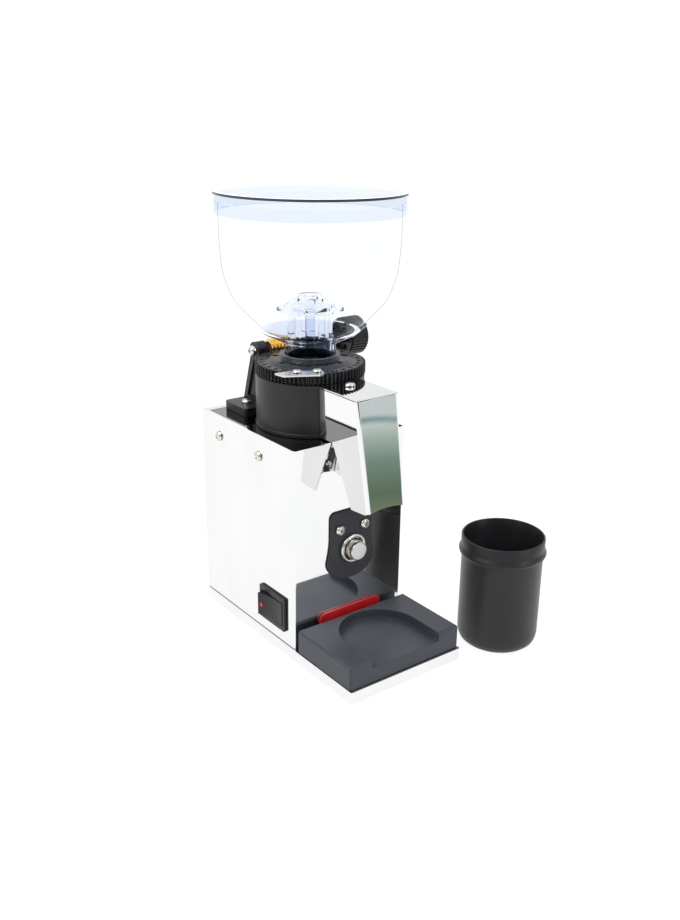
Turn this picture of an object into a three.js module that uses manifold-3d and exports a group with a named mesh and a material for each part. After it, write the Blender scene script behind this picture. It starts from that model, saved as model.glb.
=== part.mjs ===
// A compact electric burr coffee grinder with a clear hopper, a worm-driven
// adjusting collar, a bright steel body, a rest tray and a dosing cup.
// Millimetres, +Z up, +Y towards the rear, +X to the operator's right.
import * as THREE from 'three';
import { mergeVertices } from 'three/addons/utils/BufferGeometryUtils.js';
import Module from 'manifold-3d';

const wasm = await Module();
wasm.setup();

// ---------------------------------------------------------------- dimensions
const gap = 0.3;                 // running or seating gap between neighbours
const round = 36;                // facets round a large visible part
const fine = 20;                 // facets round a medium part
const coarse = 10;               // facets round a screw or pin

const base = { width: 100, depth: 192, height: 8.7, sheet: 1.2 };
const foot = { radius: 7, drop: 2.5, inset: 12 };
const body = { width: 98.2, front: 68.4, rear: 192, top: 160.8, sheet: 1.2, bend: 2 };
body.bottom = base.height + gap;
const topPlate = { recess: 1, rearEdge: 185.6, sheet: 1.5 };
topPlate.top = body.top - topPlate.recess;

const burrAxisY = 118.9;         // the vertical axis of burrs, collar and hopper
const chamber = { radius: 39.5, bore: 36, floor: 6, top: 198 };
chamber.bottom = topPlate.top + gap;
const gear = { teeth: 78, module: 1, bottom: 198.6, top: 206.6 };
gear.pitchRadius = gear.teeth * gear.module / 2;
gear.tipRadius = gear.pitchRadius + gear.module;
gear.rootRadius = gear.pitchRadius - 1.25 * gear.module;
const collar = { discRadius: 28, discTop: 208.6, hubRadius: 21.5, hubTop: 212, skirtRadius: 35.2 };
const worm = { pitchRadius: 6.2, tipRadius: 7.2, rootRadius: 5, height: 207, from: -8.5, to: 10 };
worm.axisY = burrAxisY + gear.pitchRadius + worm.pitchRadius;
worm.shaftRadius = 2.7;
worm.shaftEnd = 66;
const knob = { radius: 15, near: 62.5, far: 79, hubRadius: 5, bore: 3, start: 24.5, blind: 66.4 };
const bracket = { half: 34.3, front: 153.8, rear: 183.6, thick: 6.2, postX: 11, postWidth: 6.5 };
bracket.bossNear = 10.6;
bracket.bossFar = 19;
bracket.screwX = 23.4;
bracket.screwY = 168.7;

const neck = { radius: 18.45, bottom: 204.5, top: 220, wall: 2 };
const bowlFloor = { radius: 34, height: 227.5 };
const bowlWall = 2.2;
const lid = { radius: 66.6, bottom: 310.6, top: 325.1, wall: 1.8 };

const chute = { top: 196.6, rimY: 41.5, mouthY: 27.9, mouthZ: 120.4, sheet: 1.2 };
chute.topHalf = 18.1;
chute.mouthHalf = 16.4;
const button = { height: 78, capRadius: 7, capFace: 57.3, ringRadius: 11, ringFace: 63.3 };
const plaque = { face: 66.7, back: 68.1, topZ: 108, screwX: 11.1, screwZ: 94.2 };
const rocker = { y: 95.3, z: 31.8, long: 32.6, tall: 26.6, rim: 2, tilt: 9 };
rocker.pivotX = -47.7;
const gland = { x: 26, z: 26, from: 180, rear: 196 };
const vents = { rows: 6, firstZ: 96, pitch: 7, height: 2.6, half: 26 };
const panelScrew = { z: 144.7, frontY: 112.8, rearY: 167.1, headRadius: 3.8 };
const badge = { half: 23, radius: 5, z: 26 };
const tray = { width: 99, front: 2, rear: 64.3, top: 26.6, recess: 30.5, recessY: 30, recessFloor: 20.1 };
const cup = { x: 97.9, y: 9.7, rim: 30.8, bead: 32.2, wall: 30, height: 83.4, beadZ: 71.7, sheet: 1.6 };

// ---------------------------------------------------------------- materials
const finish = (color, roughness, metalness) =>
  new THREE.MeshStandardMaterial({ color, roughness, metalness });
const mirrorSteel = () => finish(0xdcdcda, 0.06, 1);
const zincScrew = () => finish(0xc8c8c4, 0.22, 1);
const blackPlastic = () => finish(0x262628, 0.5, 0);
const greyPlate = () => finish(0x4a4a50, 0.55, 0);
const trayPlastic = () => finish(0x565a60, 0.62, 0);
const brass = () => finish(0xd6a24a, 0.25, 1);
const clearPlastic = () => finish(0xdfe8f4, 0.08, 0);
const motorSteel = () => finish(0x8b8d90, 0.45, 1);
const burrSteel = () => finish(0x9a9b9d, 0.3, 1);
const copper = () => finish(0xb87333, 0.35, 1);
const rubber = () => finish(0x1c1c1c, 0.85, 0);

// ---------------------------------------------------------------- helpers
function toSolid(geometry) {
  const bare = geometry.index ? geometry.toNonIndexed() : geometry.clone();
  bare.deleteAttribute('normal');
  bare.deleteAttribute('uv');
  const merged = mergeVertices(bare, 1e-4);
  return new wasm.Manifold(new wasm.Mesh({
    numProp: 3,
    vertProperties: Float32Array.from(merged.attributes.position.array),
    triVerts: Uint32Array.from(merged.index.array),
  }));
}

function toGeometry(solid) {
  const raw = solid.getMesh();
  const geometry = new THREE.BufferGeometry();
  geometry.setAttribute('position', new THREE.BufferAttribute(raw.vertProperties, 3));
  geometry.setIndex(new THREE.BufferAttribute(raw.triVerts, 1));
  geometry.computeVertexNormals();
  return geometry;
}

const cut = (geometry, ...tools) =>
  toGeometry(tools.reduce((left, tool) => left.subtract(toSolid(tool)), toSolid(geometry)));
const join = (geometry, ...others) =>
  toGeometry(others.reduce((left, other) => left.add(toSolid(other)), toSolid(geometry)));
const common = (geometry, other) => toGeometry(toSolid(geometry).intersect(toSolid(other)));

// A box given by its low and high corner on each axis.
function block(x0, x1, y0, y1, z0, z1) {
  const geometry = new THREE.BoxGeometry(x1 - x0, y1 - y0, z1 - z0);
  return geometry.translate((x0 + x1) / 2, (y0 + y1) / 2, (z0 + z1) / 2);
}

// A turned solid about the vertical line through (x, y); profile is [radius, z].
function turned(profile, x = 0, y = burrAxisY, segments = round) {
  const points = profile.map(([r, z]) => new THREE.Vector2(r, z));
  const geometry = new THREE.LatheGeometry(points, segments);
  return geometry.rotateX(Math.PI / 2).translate(x, y, 0);
}

const ring = (inner, outer, z0, z1, x = 0, y = burrAxisY, segments = round) =>
  turned([[inner, z0], [outer, z0], [outer, z1], [inner, z1], [inner, z0]], x, y, segments);
const disc = (radius, z0, z1, x = 0, y = burrAxisY, segments = round) =>
  turned([[0, z0], [radius, z0], [radius, z1], [0, z1]], x, y, segments);

// A profile turned about an axis along X or Y; profile is [radius, distance].
function turnedAlong(axis, profile, centre, segments = fine) {
  const geometry = turned(profile, 0, 0, segments);
  if (axis === 'x') geometry.rotateY(Math.PI / 2);
  if (axis === 'y') geometry.rotateX(-Math.PI / 2);
  return geometry.translate(...centre);
}

function rod(axis, radius, from, to, centre, segments = fine) {
  const profile = [[0, from], [radius, from], [radius, to], [0, to]];
  return turnedAlong(axis, profile, centre, segments);
}

function outline(points) {
  return new THREE.Shape(points.map(([a, b]) => new THREE.Vector2(a, b)));
}

function extrude(shape, depth, curveSegments = 8) {
  return new THREE.ExtrudeGeometry(shape, { depth, bevelEnabled: false, curveSegments });
}

const basis = (x, y, z) => new THREE.Matrix4().makeBasis(
  new THREE.Vector3(...x), new THREE.Vector3(...y), new THREE.Vector3(...z));

// A shape drawn in X and Z, filling Y from front to back.
function facing(shape, front, back, curveSegments = 8) {
  const geometry = extrude(shape, back - front, curveSegments);
  geometry.applyMatrix4(basis([1, 0, 0], [0, 0, 1], [0, -1, 0]));
  return geometry.translate(0, back, 0);
}

// A shape drawn in Y and Z, filling X from left to right.
function sideways(shape, left, right, curveSegments = 8) {
  const geometry = extrude(shape, right - left, curveSegments);
  geometry.applyMatrix4(basis([0, 1, 0], [0, 0, 1], [1, 0, 0]));
  return geometry.translate(left, 0, 0);
}

// A shape drawn in X and Y, filling Z from bottom to top.
const upright = (shape, bottom, top, curveSegments = 8) =>
  extrude(shape, top - bottom, curveSegments).translate(0, 0, bottom);

function part(name, geometry, material) {
  const mesh = new THREE.Mesh(geometry, material);
  mesh.name = name;
  return mesh;
}

// ---------------------------------------------------------------- base
function basePan() {
  const half = base.width / 2;
  const skin = base.sheet;
  const outer = block(-half, half, 0, base.depth, 0, base.height);
  const inner = block(-half + skin, half - skin, skin, base.depth - skin, -1, base.height - skin);
  return cut(outer, inner);
}

function feet() {
  const top = base.height - base.sheet - gap;
  const places = {
    front_left: [-1, foot.inset], front_right: [1, foot.inset],
    rear_left: [-1, base.depth - foot.inset], rear_right: [1, base.depth - foot.inset],
  };
  return Object.entries(places).map(([corner, [side, y]]) => {
    const x = side * (base.width / 2 - foot.inset);
    return part(`foot_${corner}`, disc(foot.radius, -foot.drop, top, x, y, 16), rubber());
  });
}

// ---------------------------------------------------------------- body
function roundedU(half, front, rear, radius) {
  const shape = new THREE.Shape();
  shape.moveTo(-half, rear);
  shape.lineTo(-half, front + radius);
  shape.absarc(-half + radius, front + radius, radius, Math.PI, 1.5 * Math.PI, false);
  shape.absarc(half - radius, front + radius, radius, 1.5 * Math.PI, 2 * Math.PI, false);
  shape.lineTo(half, rear);
  return shape;
}

function bodyShell() {
  const half = body.width / 2;
  const skin = body.sheet;
  const outer = upright(roundedU(half, body.front, body.rear, body.bend), body.bottom, body.top, 3);
  const innerShape = roundedU(half - skin, body.front + skin, body.rear + 5, body.bend - skin);
  const inner = upright(innerShape, body.bottom - 1, body.top + 1, 3);
  const holes = [
    rod('y', 9.8, body.front - 1, body.front + 3, [0, 0, button.height]),
    block(-half - 1, -half + 3, rocker.y - 14.6, rocker.y + 14.6, rocker.z - 11.1, rocker.z + 11.1),
  ];
  for (const side of [-1, 1]) {
    const centre = [side * plaque.screwX, 0, plaque.screwZ];
    holes.push(rod('y', 2.4, body.front - 1, body.front + 3, centre, coarse));
    for (const y of [panelScrew.frontY, panelScrew.rearY]) {
      holes.push(rod('x', 2.4, -3, 3, [side * half, y, panelScrew.z], coarse));
    }
  }
  return cut(outer, inner, ...holes);
}

function topPlatePart() {
  const half = body.width / 2 - body.sheet - gap;
  const front = body.front + body.sheet + gap;
  const bottom = topPlate.top - topPlate.sheet;
  const plate = block(-half, half, front, topPlate.rearEdge, bottom, topPlate.top);
  return cut(plate, disc(12, bottom - 1, topPlate.top + 1, 0, burrAxisY, fine));
}

function rearCover() {
  const half = body.width / 2 - body.sheet - gap;
  const from = topPlate.rearEdge + gap;
  const skin = body.sheet;
  const wall = block(-half, half, body.rear - skin, body.rear, body.bottom, topPlate.top);
  const lip = block(-half, half, from, body.rear, topPlate.top - skin, topPlate.top);
  const slots = [];
  for (let row = 0; row < vents.rows; row += 1) {
    const z = vents.firstZ + row * vents.pitch;
    slots.push(block(-vents.half, vents.half, body.rear - 3, body.rear + 1, z, z + vents.height));
  }
  const glandHole = rod('y', 5.6, body.rear - 4, body.rear + 2, [gland.x, 0, gland.z], coarse);
  return cut(join(wall, lip), ...slots, glandHole);
}

function cableGland() {
  const centre = [gland.x, 0, gland.z];
  const profile = [[3.7, gland.from], [5.2, gland.from], [5.2, body.rear - 1.6], [5.3, body.rear + gap],
    [5.3, gland.rear], [3.7, gland.rear], [3.7, gland.from]];
  const sleeve = turnedAlong('y', profile, centre, coarse);
  const inside = body.rear - body.sheet - gap;
  return join(sleeve, cut(rod('y', 8, inside - 3, inside, centre, coarse),
    rod('y', 4.5, 170, 200, centre, coarse)));
}

function buttonHead(side, centre) {
  const tip = side * -8;
  const root = side * gap;
  const crown = side * 2.4;
  const head = [[0, tip], [2, tip], [2, root], [panelScrew.headRadius, root]];
  const profile = [...head, [panelScrew.headRadius - 0.6, side * 1.5], [2, crown], [0, crown]];
  return turnedAlong('x', side > 0 ? profile : profile.reverse(), centre, coarse);
}

function shellScrews() {
  const screws = [];
  for (const [sideName, side] of [['left', -1], ['right', 1]]) {
    for (const [place, y] of [['front', panelScrew.frontY], ['rear', panelScrew.rearY]]) {
      const centre = [side * body.width / 2, y, panelScrew.z];
      screws.push(part(`shell_screw_${sideName}_${place}`, buttonHead(side, centre), zincScrew()));
    }
  }
  return screws;
}

// ---------------------------------------------------------------- motor
const motor = { radius: 40, top: 158, shoulder: 148, statorTop: 147.7, statorBottom: 100, bottom: 91 };

function motorParts() {
  const upperBell = turned([[9.6, motor.shoulder], [motor.radius, motor.shoulder], [motor.radius, 152],
    [16, motor.top], [9.6, motor.top], [9.6, motor.shoulder]], 0, burrAxisY, fine);
  const lowerBell = ring(8.6, motor.radius, motor.bottom, 99.7, 0, burrAxisY, fine);
  return [
    part('motor_upper_bell', upperBell, motorSteel()),
    part('motor_stator', ring(24, motor.radius, motor.statorBottom, motor.statorTop,
      0, burrAxisY, fine), motorSteel()),
    part('motor_lower_bell', lowerBell, motorSteel()),
    part('upper_bearing', ring(4.3, 9.3, 149, 157.5, 0, burrAxisY, coarse), burrSteel()),
    part('lower_bearing', ring(4.3, 8.3, 92, 99, 0, burrAxisY, coarse), burrSteel()),
  ];
}

function coolingFan() {
  const hub = ring(4.3, 8, 83, 90, 0, burrAxisY, fine);
  const plate = ring(7, 24, 88.5, 90, 0, burrAxisY, fine);
  const blades = [];
  for (let count = 0; count < 8; count += 1) {
    const blade = block(7, 23.5, -0.7, 0.7, 83, 89);
    blades.push(blade.rotateZ(count * Math.PI / 4).translate(0, burrAxisY, 0));
  }
  return join(hub, plate, ...blades);
}

function shaftParts() {
  return [
    part('motor_shaft', disc(4, 84, 184, 0, burrAxisY, coarse), burrSteel()),
    part('rotor_core', ring(4.3, 23.3, 102, 145, 0, burrAxisY, fine), copper()),
    part('cooling_fan', coolingFan(), blackPlastic()),
    part('burr_carrier', burrCarrier(), burrSteel()),
    part('lower_burr', burrRing(177.6, 182.6, 1), burrSteel()),
    part('carrier_nut', ring(5, 7.5, 177.6, 182, 0, burrAxisY, 6), zincScrew()),
  ];
}

function burrCarrier() {
  const plate = ring(4.3, 27, 171, 177.3, 0, burrAxisY, fine);
  const sweepers = [0, 1, 2].map((count) => block(26, 34, -2.5, 2.5, 171, 176)
    .rotateZ(count * 2 * Math.PI / 3).translate(0, burrAxisY, 0));
  return join(plate, ...sweepers);
}

// A flat grinding ring; its working face dips towards the bore.
function burrRing(bottom, top, face) {
  const inner = face > 0 ? top - 2.5 : bottom + 2.5;
  const profile = face > 0
    ? [[12, bottom], [25, bottom], [25, top], [21, top], [12, inner], [12, bottom]]
    : [[15.5, inner], [21, bottom], [25, bottom], [25, top], [15.5, top], [15.5, inner]];
  return turned(profile, 0, burrAxisY, fine);
}

// ---------------------------------------------------------------- electrics
function electrics() {
  const capacitor = rod('y', 14, 132, 178, [-28, 0, 30]);
  const terminal = block(8, 42, 150, 168, 12, 24);
  return [
    part('run_capacitor', capacitor, blackPlastic()),
    part('terminal_block', terminal, clearPlastic()),
    part('microswitch', block(-9, 9, 82.6, 92.6, 72.5, 83.5), blackPlastic()),
  ];
}

// ---------------------------------------------------------------- chamber
function grindingChamber() {
  const { radius, bore, floor, bottom, top } = chamber;
  const profile = [[11, bottom], [radius + 0.5, bottom], [radius + 0.5, bottom + 2.2],
    [radius, bottom + 2.2], [radius, top], [bore, top], [bore, bottom + floor],
    [11, bottom + floor], [11, bottom]];
  const wall = turned(profile);
  const outlet = block(-13, 13, burrAxisY - radius - 2, burrAxisY - 30, 168, 188);
  return cut(wall, outlet);
}

// ---------------------------------------------------------------- chute
function frontTaper(topHalf, mouthHalf) {
  const slope = (topHalf - mouthHalf) / (chute.top - chute.mouthZ);
  const low = 100;
  const lowHalf = mouthHalf - slope * (chute.mouthZ - low);
  const high = 210;
  const highHalf = topHalf + slope * (high - chute.top);
  return facing(outline([[-lowHalf, low], [lowHalf, low], [highHalf, high], [-highHalf, high]]),
    10, 110);
}

function chuteSide(shift, top) {
  const clearOfPanel = body.front - 0.6;
  return outline([
    [88, top], [chute.rimY + shift, top], [chute.mouthY + shift, chute.mouthZ],
    [32.5, 119.2], [47.1, 118.2], [clearOfPanel, 161.1], [88, 161.1],
  ]);
}

function chuteBody() {
  const skin = chute.sheet;
  const outer = common(sideways(chuteSide(0, chute.top), -25, 25),
    frontTaper(chute.topHalf, chute.mouthHalf));
  const lean = (chute.rimY - chute.mouthY) / (chute.top - chute.mouthZ);
  const innerFace = (z) => chute.mouthY + (z - chute.mouthZ) * lean + skin;
  const hollow = outline([[95, 205], [innerFace(205), 205], [innerFace(112), 112], [95, 112]]);
  const inner = common(sideways(hollow, -25, 25),
    frontTaper(chute.topHalf - skin, chute.mouthHalf - skin));
  const mouth = turnedAlong('y', [[0, 10], [70, 10], [70, 34], [0, 34]], [0, 0, 52.4], 48);
  return cut(outer, inner, mouth, disc(chamber.radius + 0.5 + gap, 100, 220));
}

function chuteCap() {
  const plate = block(-chute.topHalf, chute.topHalf, chute.rimY, 90, chute.top + gap, 197.9);
  const hole = disc(2.4, 190, 210, 0, 72, coarse);
  return cut(plate, disc(chamber.radius + gap, 190, 210), hole);
}

function panHead(x, y, seat, radius, length) {
  const profile = [[0, seat - length], [1.9, seat - length], [1.9, seat + 0.25], [radius, seat + 0.25],
    [radius, seat + 1.4], [radius - 1, seat + 2.4], [0, seat + 2.4]];
  return turned(profile, x, y, coarse);
}

// ---------------------------------------------------------------- collar
function gearOutline() {
  const pitch = 2 * Math.PI / gear.teeth;
  const points = [];
  for (let tooth = 0; tooth < gear.teeth; tooth += 1) {
    const middle = Math.PI / 2 + tooth * pitch;
    for (const [radius, share] of [[gear.rootRadius, -0.3], [gear.tipRadius, -0.13],
      [gear.tipRadius, 0.13], [gear.rootRadius, 0.3]]) {
      const angle = middle + share * pitch;
      points.push([radius * Math.cos(angle), radius * Math.sin(angle)]);
    }
  }
  return outline(points);
}

function adjustingCollar() {
  const throat = 16.2;
  const pocket = neck.radius + gap;
  const underside = 188.9;
  const teeth = upright(gearOutline(), gear.bottom, gear.top).translate(0, burrAxisY, 0);
  const web = turned([[throat, underside], [collar.skirtRadius, underside],
    [collar.skirtRadius, gear.top], [31, gear.top], [collar.discRadius, collar.discTop],
    [collar.hubRadius, collar.discTop], [collar.hubRadius, collar.hubTop],
    [pocket, collar.hubTop], [pocket, 204], [throat, 204], [throat, underside]]);
  const middle = disc(30, 150, 230);
  const holes = [];
  for (let count = 0; count < 7; count += 1) {
    const angle = THREE.MathUtils.degToRad(340 + count * 360 / 7);
    const x = 25.3 * Math.cos(angle);
    const y = burrAxisY + 25.3 * Math.sin(angle);
    holes.push(disc(2.6, 203, 215, x, y, 8));
  }
  return cut(join(cut(teeth, middle), web), ...holes);
}

// The index plate on the collar: a pointed strip held by two screws.
const pointer = { bottom: gear.top + gap, top: gear.top + 1.6, tip: [-44.9, -21] };
pointer.screws = [[-31, -28.2], [-18.4, -34.2]];

function pointerPlate() {
  const [x0, y0] = pointer.tip;
  const shape = outline([[x0, y0], [-43.5, -30.5], [-34.6, -34.6], [-21.5, -41.6], [-15, -37.5],
    [-13.6, -32.4], [-17.6, -29.8], [-24.6, -27.2], [-29.5, -23.4], [-34.4, -22]]);
  return upright(shape, pointer.bottom, pointer.top).translate(0, burrAxisY, 0);
}

function collarParts() {
  const parts = [
    part('adjusting_collar', adjustingCollar(), blackPlastic()),
    part('upper_burr', burrRing(183, 188.6, -1), burrSteel()),
    part('pointer_plate', pointerPlate(), zincScrew()),
  ];
  pointer.screws.forEach(([x, y], index) => {
    const head = turned([[0, pointer.top + gap], [3.1, pointer.top + gap],
      [3.1, pointer.top + 1.4], [2, pointer.top + 2.2], [0, pointer.top + 2.2]],
    x, burrAxisY + y, coarse);
    parts.push(part(`pointer_screw_${index + 1}`, head, zincScrew()));
  });
  return parts;
}

// ---------------------------------------------------------------- worm drive
function wormThread() {
  const stepsPerTurn = 16;
  const lead = Math.PI * gear.module;
  const turns = Math.floor((worm.to - worm.from - 2) / lead);
  const start = -turns * lead / 2 + (worm.to + worm.from) / 2;
  // The thread's groove faces the gear tooth that points straight at the worm.
  const phase = (start / lead) * 2 * Math.PI + Math.PI;
  const section = [[worm.rootRadius - 0.4, -0.85], [worm.tipRadius, -0.24],
    [worm.tipRadius, 0.24], [worm.rootRadius - 0.4, 0.85]];
  const steps = turns * stepsPerTurn;
  const positions = [];
  for (let step = 0; step <= steps; step += 1) {
    const angle = phase + step * 2 * Math.PI / stepsPerTurn;
    for (const [radius, along] of section) {
      positions.push(start + step * lead / stepsPerTurn + along,
        -radius * Math.cos(angle), radius * Math.sin(angle));
    }
  }
  const index = [];
  for (let step = 0; step < steps; step += 1) {
    for (let side = 0; side < 4; side += 1) {
      const a = step * 4 + side;
      const b = step * 4 + (side + 1) % 4;
      index.push(a, b, a + 4, b, b + 4, a + 4);
    }
  }
  const end = steps * 4;
  index.push(0, 2, 1, 0, 3, 2, end, end + 1, end + 2, end, end + 2, end + 3);
  const geometry = new THREE.BufferGeometry();
  geometry.setAttribute('position', new THREE.Float32BufferAttribute(positions, 3));
  geometry.setIndex(index);
  return geometry.translate(0, worm.axisY, worm.height);
}

function wormScrew() {
  const centre = [0, worm.axisY, worm.height];
  const { shaftRadius, shaftEnd, rootRadius, from, to } = worm;
  const profile = [[0, -bracket.bossFar], [shaftRadius, -bracket.bossFar], [shaftRadius, from - 0.2],
    [rootRadius, from], [rootRadius, to], [shaftRadius, to + 0.2], [shaftRadius, shaftEnd], [0, shaftEnd]];
  return join(turnedAlong('x', profile, centre, fine), orient(wormThread()));
}

// Turns a closed surface the right way out if its volume comes out negative.
function orient(geometry) {
  const index = geometry.index.array;
  const p = geometry.attributes.position;
  const at = (i) => new THREE.Vector3().fromBufferAttribute(p, i);
  let volume = 0;
  for (let i = 0; i < index.length; i += 3) {
    volume += at(index[i]).dot(at(index[i + 1]).cross(at(index[i + 2])));
  }
  if (volume < 0) {
    for (let i = 0; i < index.length; i += 3) {
      [index[i + 1], index[i + 2]] = [index[i + 2], index[i + 1]];
    }
  }
  return geometry;
}

function wormKnob() {
  const centre = [0, worm.axisY, worm.height];
  const { radius, near, far, hubRadius, bore, start, blind } = knob;
  const profile = [[bore, start], [hubRadius, start], [hubRadius, near],
    [radius - 0.8, near], [radius, near + 0.8], [radius, far - 0.8],
    [radius - 0.8, far], [0, far], [0, blind], [bore, blind], [bore, start]];
  return turnedAlong('x', profile, centre, 28);
}

// A slab with a leaning post and a round bearing boss at each end of the worm.
function wormBracket() {
  const seat = topPlate.top + gap;
  const deck = seat + bracket.thick;
  const pieces = [block(-bracket.half, bracket.half, bracket.front, bracket.rear, seat, deck)];
  for (const side of [-1, 1]) {
    const post = outline([[worm.axisY - 6.5, deck - 1], [bracket.rear - 0.6, deck - 1],
      [worm.axisY + 6, worm.height], [worm.axisY - 6, worm.height]]);
    const near = side < 0 ? -bracket.postX - bracket.postWidth : bracket.postX;
    pieces.push(sideways(post, near, near + bracket.postWidth));
    const boss = side < 0 ? [-bracket.bossFar, -bracket.bossNear] : [bracket.bossNear, bracket.bossFar];
    pieces.push(rod('x', 6.4, ...boss, [0, worm.axisY, worm.height], fine));
  }
  const bore = rod('x', 3.05, -40, 40, [0, worm.axisY, worm.height], fine);
  const screwHoles = [-1, 1].map((side) =>
    disc(2.2, 150, 180, side * bracket.screwX, bracket.screwY, coarse));
  return cut(join(...pieces), bore, disc(chamber.radius + 0.5 + gap, 150, 230), ...screwHoles);
}

function wormParts() {
  const seat = -bracket.bossFar - gap;
  const headProfile = [[0, seat - 4.2], [2.6, seat - 3.8], [4, seat - 2.6], [4, seat], [0, seat]];
  const endScrew = turnedAlong('x', headProfile, [0, worm.axisY, worm.height], coarse);
  return [
    part('worm_screw', wormScrew(), brass()),
    part('worm_knob', wormKnob(), blackPlastic()),
    part('worm_end_screw', endScrew, zincScrew()),
  ];
}

// ---------------------------------------------------------------- hopper
function hopperBowl() {
  const outside = [[neck.radius, neck.bottom], [neck.radius, neck.top],
    [bowlFloor.radius, bowlFloor.height], [47.5, 240.3], [56.5, 252.1], [62.4, 267.3],
    [64.3, 280], [65, 295], [65.2, 310.2], [64.9, 318]];
  const inside = outside.map(([r, z], index) => {
    const thickness = index < 2 ? neck.wall : bowlWall;
    return [r - thickness, index === 0 || index === 9 ? z : z + (index < 4 ? 1.6 : 0.5)];
  }).reverse();
  return turned([...outside, ...inside, outside[0]]);
}

function fingerGuard() {
  const tube = [[14.4, 205], [16.1, 205], [16.1, 222], [17, 224], [17, 243.4], [23.9, 243.4],
    [23.9, 244.9], [9, 251.5], [8.7, 254], [5.4, 254], [5.4, 250], [4, 250], [4, 241.5],
    [8.7, 241.5], [8.7, 248.6], [14.9, 245.6], [14.9, 224], [14.4, 222], [14.4, 205]];
  const cage = turned(tube, 0, burrAxisY, fine);
  const windows = [];
  for (let count = 0; count < 4; count += 1) {
    const window = block(10, 22, -8.5, 8.5, 224, 241);
    windows.push(window.rotateZ(Math.PI / 4 + count * Math.PI / 2).translate(0, burrAxisY, 0));
  }
  return cut(cage, ...windows);
}

function guardBolt() {
  return turned([[0, 207], [6, 207], [6, 210], [3.4, 217], [3.4, 241], [0, 241]],
    0, burrAxisY, fine);
}

function hopperLid() {
  const { radius, bottom, top, wall } = lid;
  const bore = 65.2 + gap;
  return turned([[0, top - wall - 0.4], [bore - 1.5, top - wall - 0.4], [bore, top - 4],
    [bore, bottom], [radius, bottom], [radius, top - 0.8], [radius - 0.8, top], [0, top]]);
}

// ---------------------------------------------------------------- controls
function plaqueOutline() {
  const shape = new THREE.Shape();
  const corner = 5;
  const half = 18.6;
  shape.moveTo(-half + corner, plaque.topZ);
  shape.absarc(-half + corner, plaque.topZ - corner, corner, Math.PI / 2, Math.PI, false);
  shape.lineTo(-half, 86);
  shape.quadraticCurveTo(-half - 0.4, 79, -21.4, 69.5);
  shape.quadraticCurveTo(-22, 64, -15.6, 58.4);
  shape.quadraticCurveTo(-9, 53.8, 0, 53.8);
  shape.quadraticCurveTo(9, 53.8, 15.6, 58.4);
  shape.quadraticCurveTo(22, 64, 21.4, 69.5);
  shape.quadraticCurveTo(half + 0.4, 79, half, 86);
  shape.lineTo(half, plaque.topZ - corner);
  shape.absarc(half - corner, plaque.topZ - corner, corner, 0, Math.PI / 2, false);
  return shape;
}

function buttonPlaque() {
  const plate = facing(plaqueOutline(), plaque.face, plaque.back, 5);
  const holes = [rod('y', 9.8, 60, 75, [0, 0, button.height])];
  for (const side of [-1, 1]) {
    holes.push(rod('y', 2.4, 60, 75, [side * plaque.screwX, 0, plaque.screwZ], coarse));
  }
  return cut(plate, ...holes);
}

function plaqueScrew(side) {
  const seat = plaque.face - gap;
  const profile = [[0, seat - 2.6], [2.2, seat - 2.6], [3.7, seat - 1.2], [3.7, seat],
    [2, seat], [2, 76], [0, 76]];
  return turnedAlong('y', profile, [side * plaque.screwX, 0, plaque.screwZ], coarse);
}

function buttonBezel() {
  const seat = plaque.face - gap;
  const bore = button.capRadius + 0.4;
  const profile = [[bore, 70], [bore, button.ringFace + 1.2], [button.ringRadius - 1.8, button.ringFace],
    [button.ringRadius - 0.5, button.ringFace + 0.4], [button.ringRadius, seat],
    [9.4, seat], [9.4, 81.6], [3.6, 81.6], [3.6, 79.6], [bore, 79.6], [bore, 70]];
  return turnedAlong('y', profile, [0, 0, button.height], fine);
}

function startButton() {
  const { capRadius, capFace } = button;
  const profile = [[0, capFace], [capRadius - 0.8, capFace], [capRadius, capFace + 0.8],
    [capRadius, 67.5], [2.6, 67.5], [2.6, 79.3], [0, 79.3]];
  return turnedAlong('y', profile, [0, 0, button.height], fine);
}

function buttonSpring() {
  class Coil extends THREE.Curve {
    getPoint(t) {
      const angle = t * 5 * 2 * Math.PI;
      const across = 4.6 * Math.cos(angle);
      const up = button.height + 4.6 * Math.sin(angle);
      return new THREE.Vector3(across, 68.6 + t * 9.8, up);
    }
  }
  const wire = new THREE.Shape();
  wire.absarc(0, 0, 0.45, 0, 2 * Math.PI, false);
  return new THREE.ExtrudeGeometry(wire, {
    steps: 40, curveSegments: 3, bevelEnabled: false, extrudePath: new Coil(),
  });
}

function rockerHousing() {
  const { y, z, long, tall, rim } = rocker;
  const face = -body.width / 2 - rim;
  const flange = block(face, -body.width / 2 - gap, y - long / 2, y + long / 2, z - tall / 2, z + tall / 2);
  const can = block(face + 0.5, -24, y - 14.3, y + 14.3, z - 10.8, z + 10.8);
  const pocket = block(face - 1, -42.5, y - 14.05, y + 14.05, z - 9.3, z + 9.3);
  return cut(join(flange, can), pocket);
}

// The paddle's two faces slope up from a valley; at rest the rear end stands proud.
function rockerPaddle() {
  const rise = 13 * Math.tan(THREE.MathUtils.degToRad(rocker.tilt));
  const shape = outline([[-13, 0], [-9, -2.2], [9, -2.2], [13, 0], [13, 3.9 + rise], [0, 3.9],
    [-13, 3.9 + rise]]);
  const geometry = extrude(shape, 17.8).translate(0, 0, -8.9);
  geometry.applyMatrix4(basis([0, 1, 0], [-1, 0, 0], [0, 0, 1]));
  geometry.rotateZ(THREE.MathUtils.degToRad(rocker.tilt));
  return geometry.translate(rocker.pivotX, rocker.y, rocker.z);
}

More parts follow.
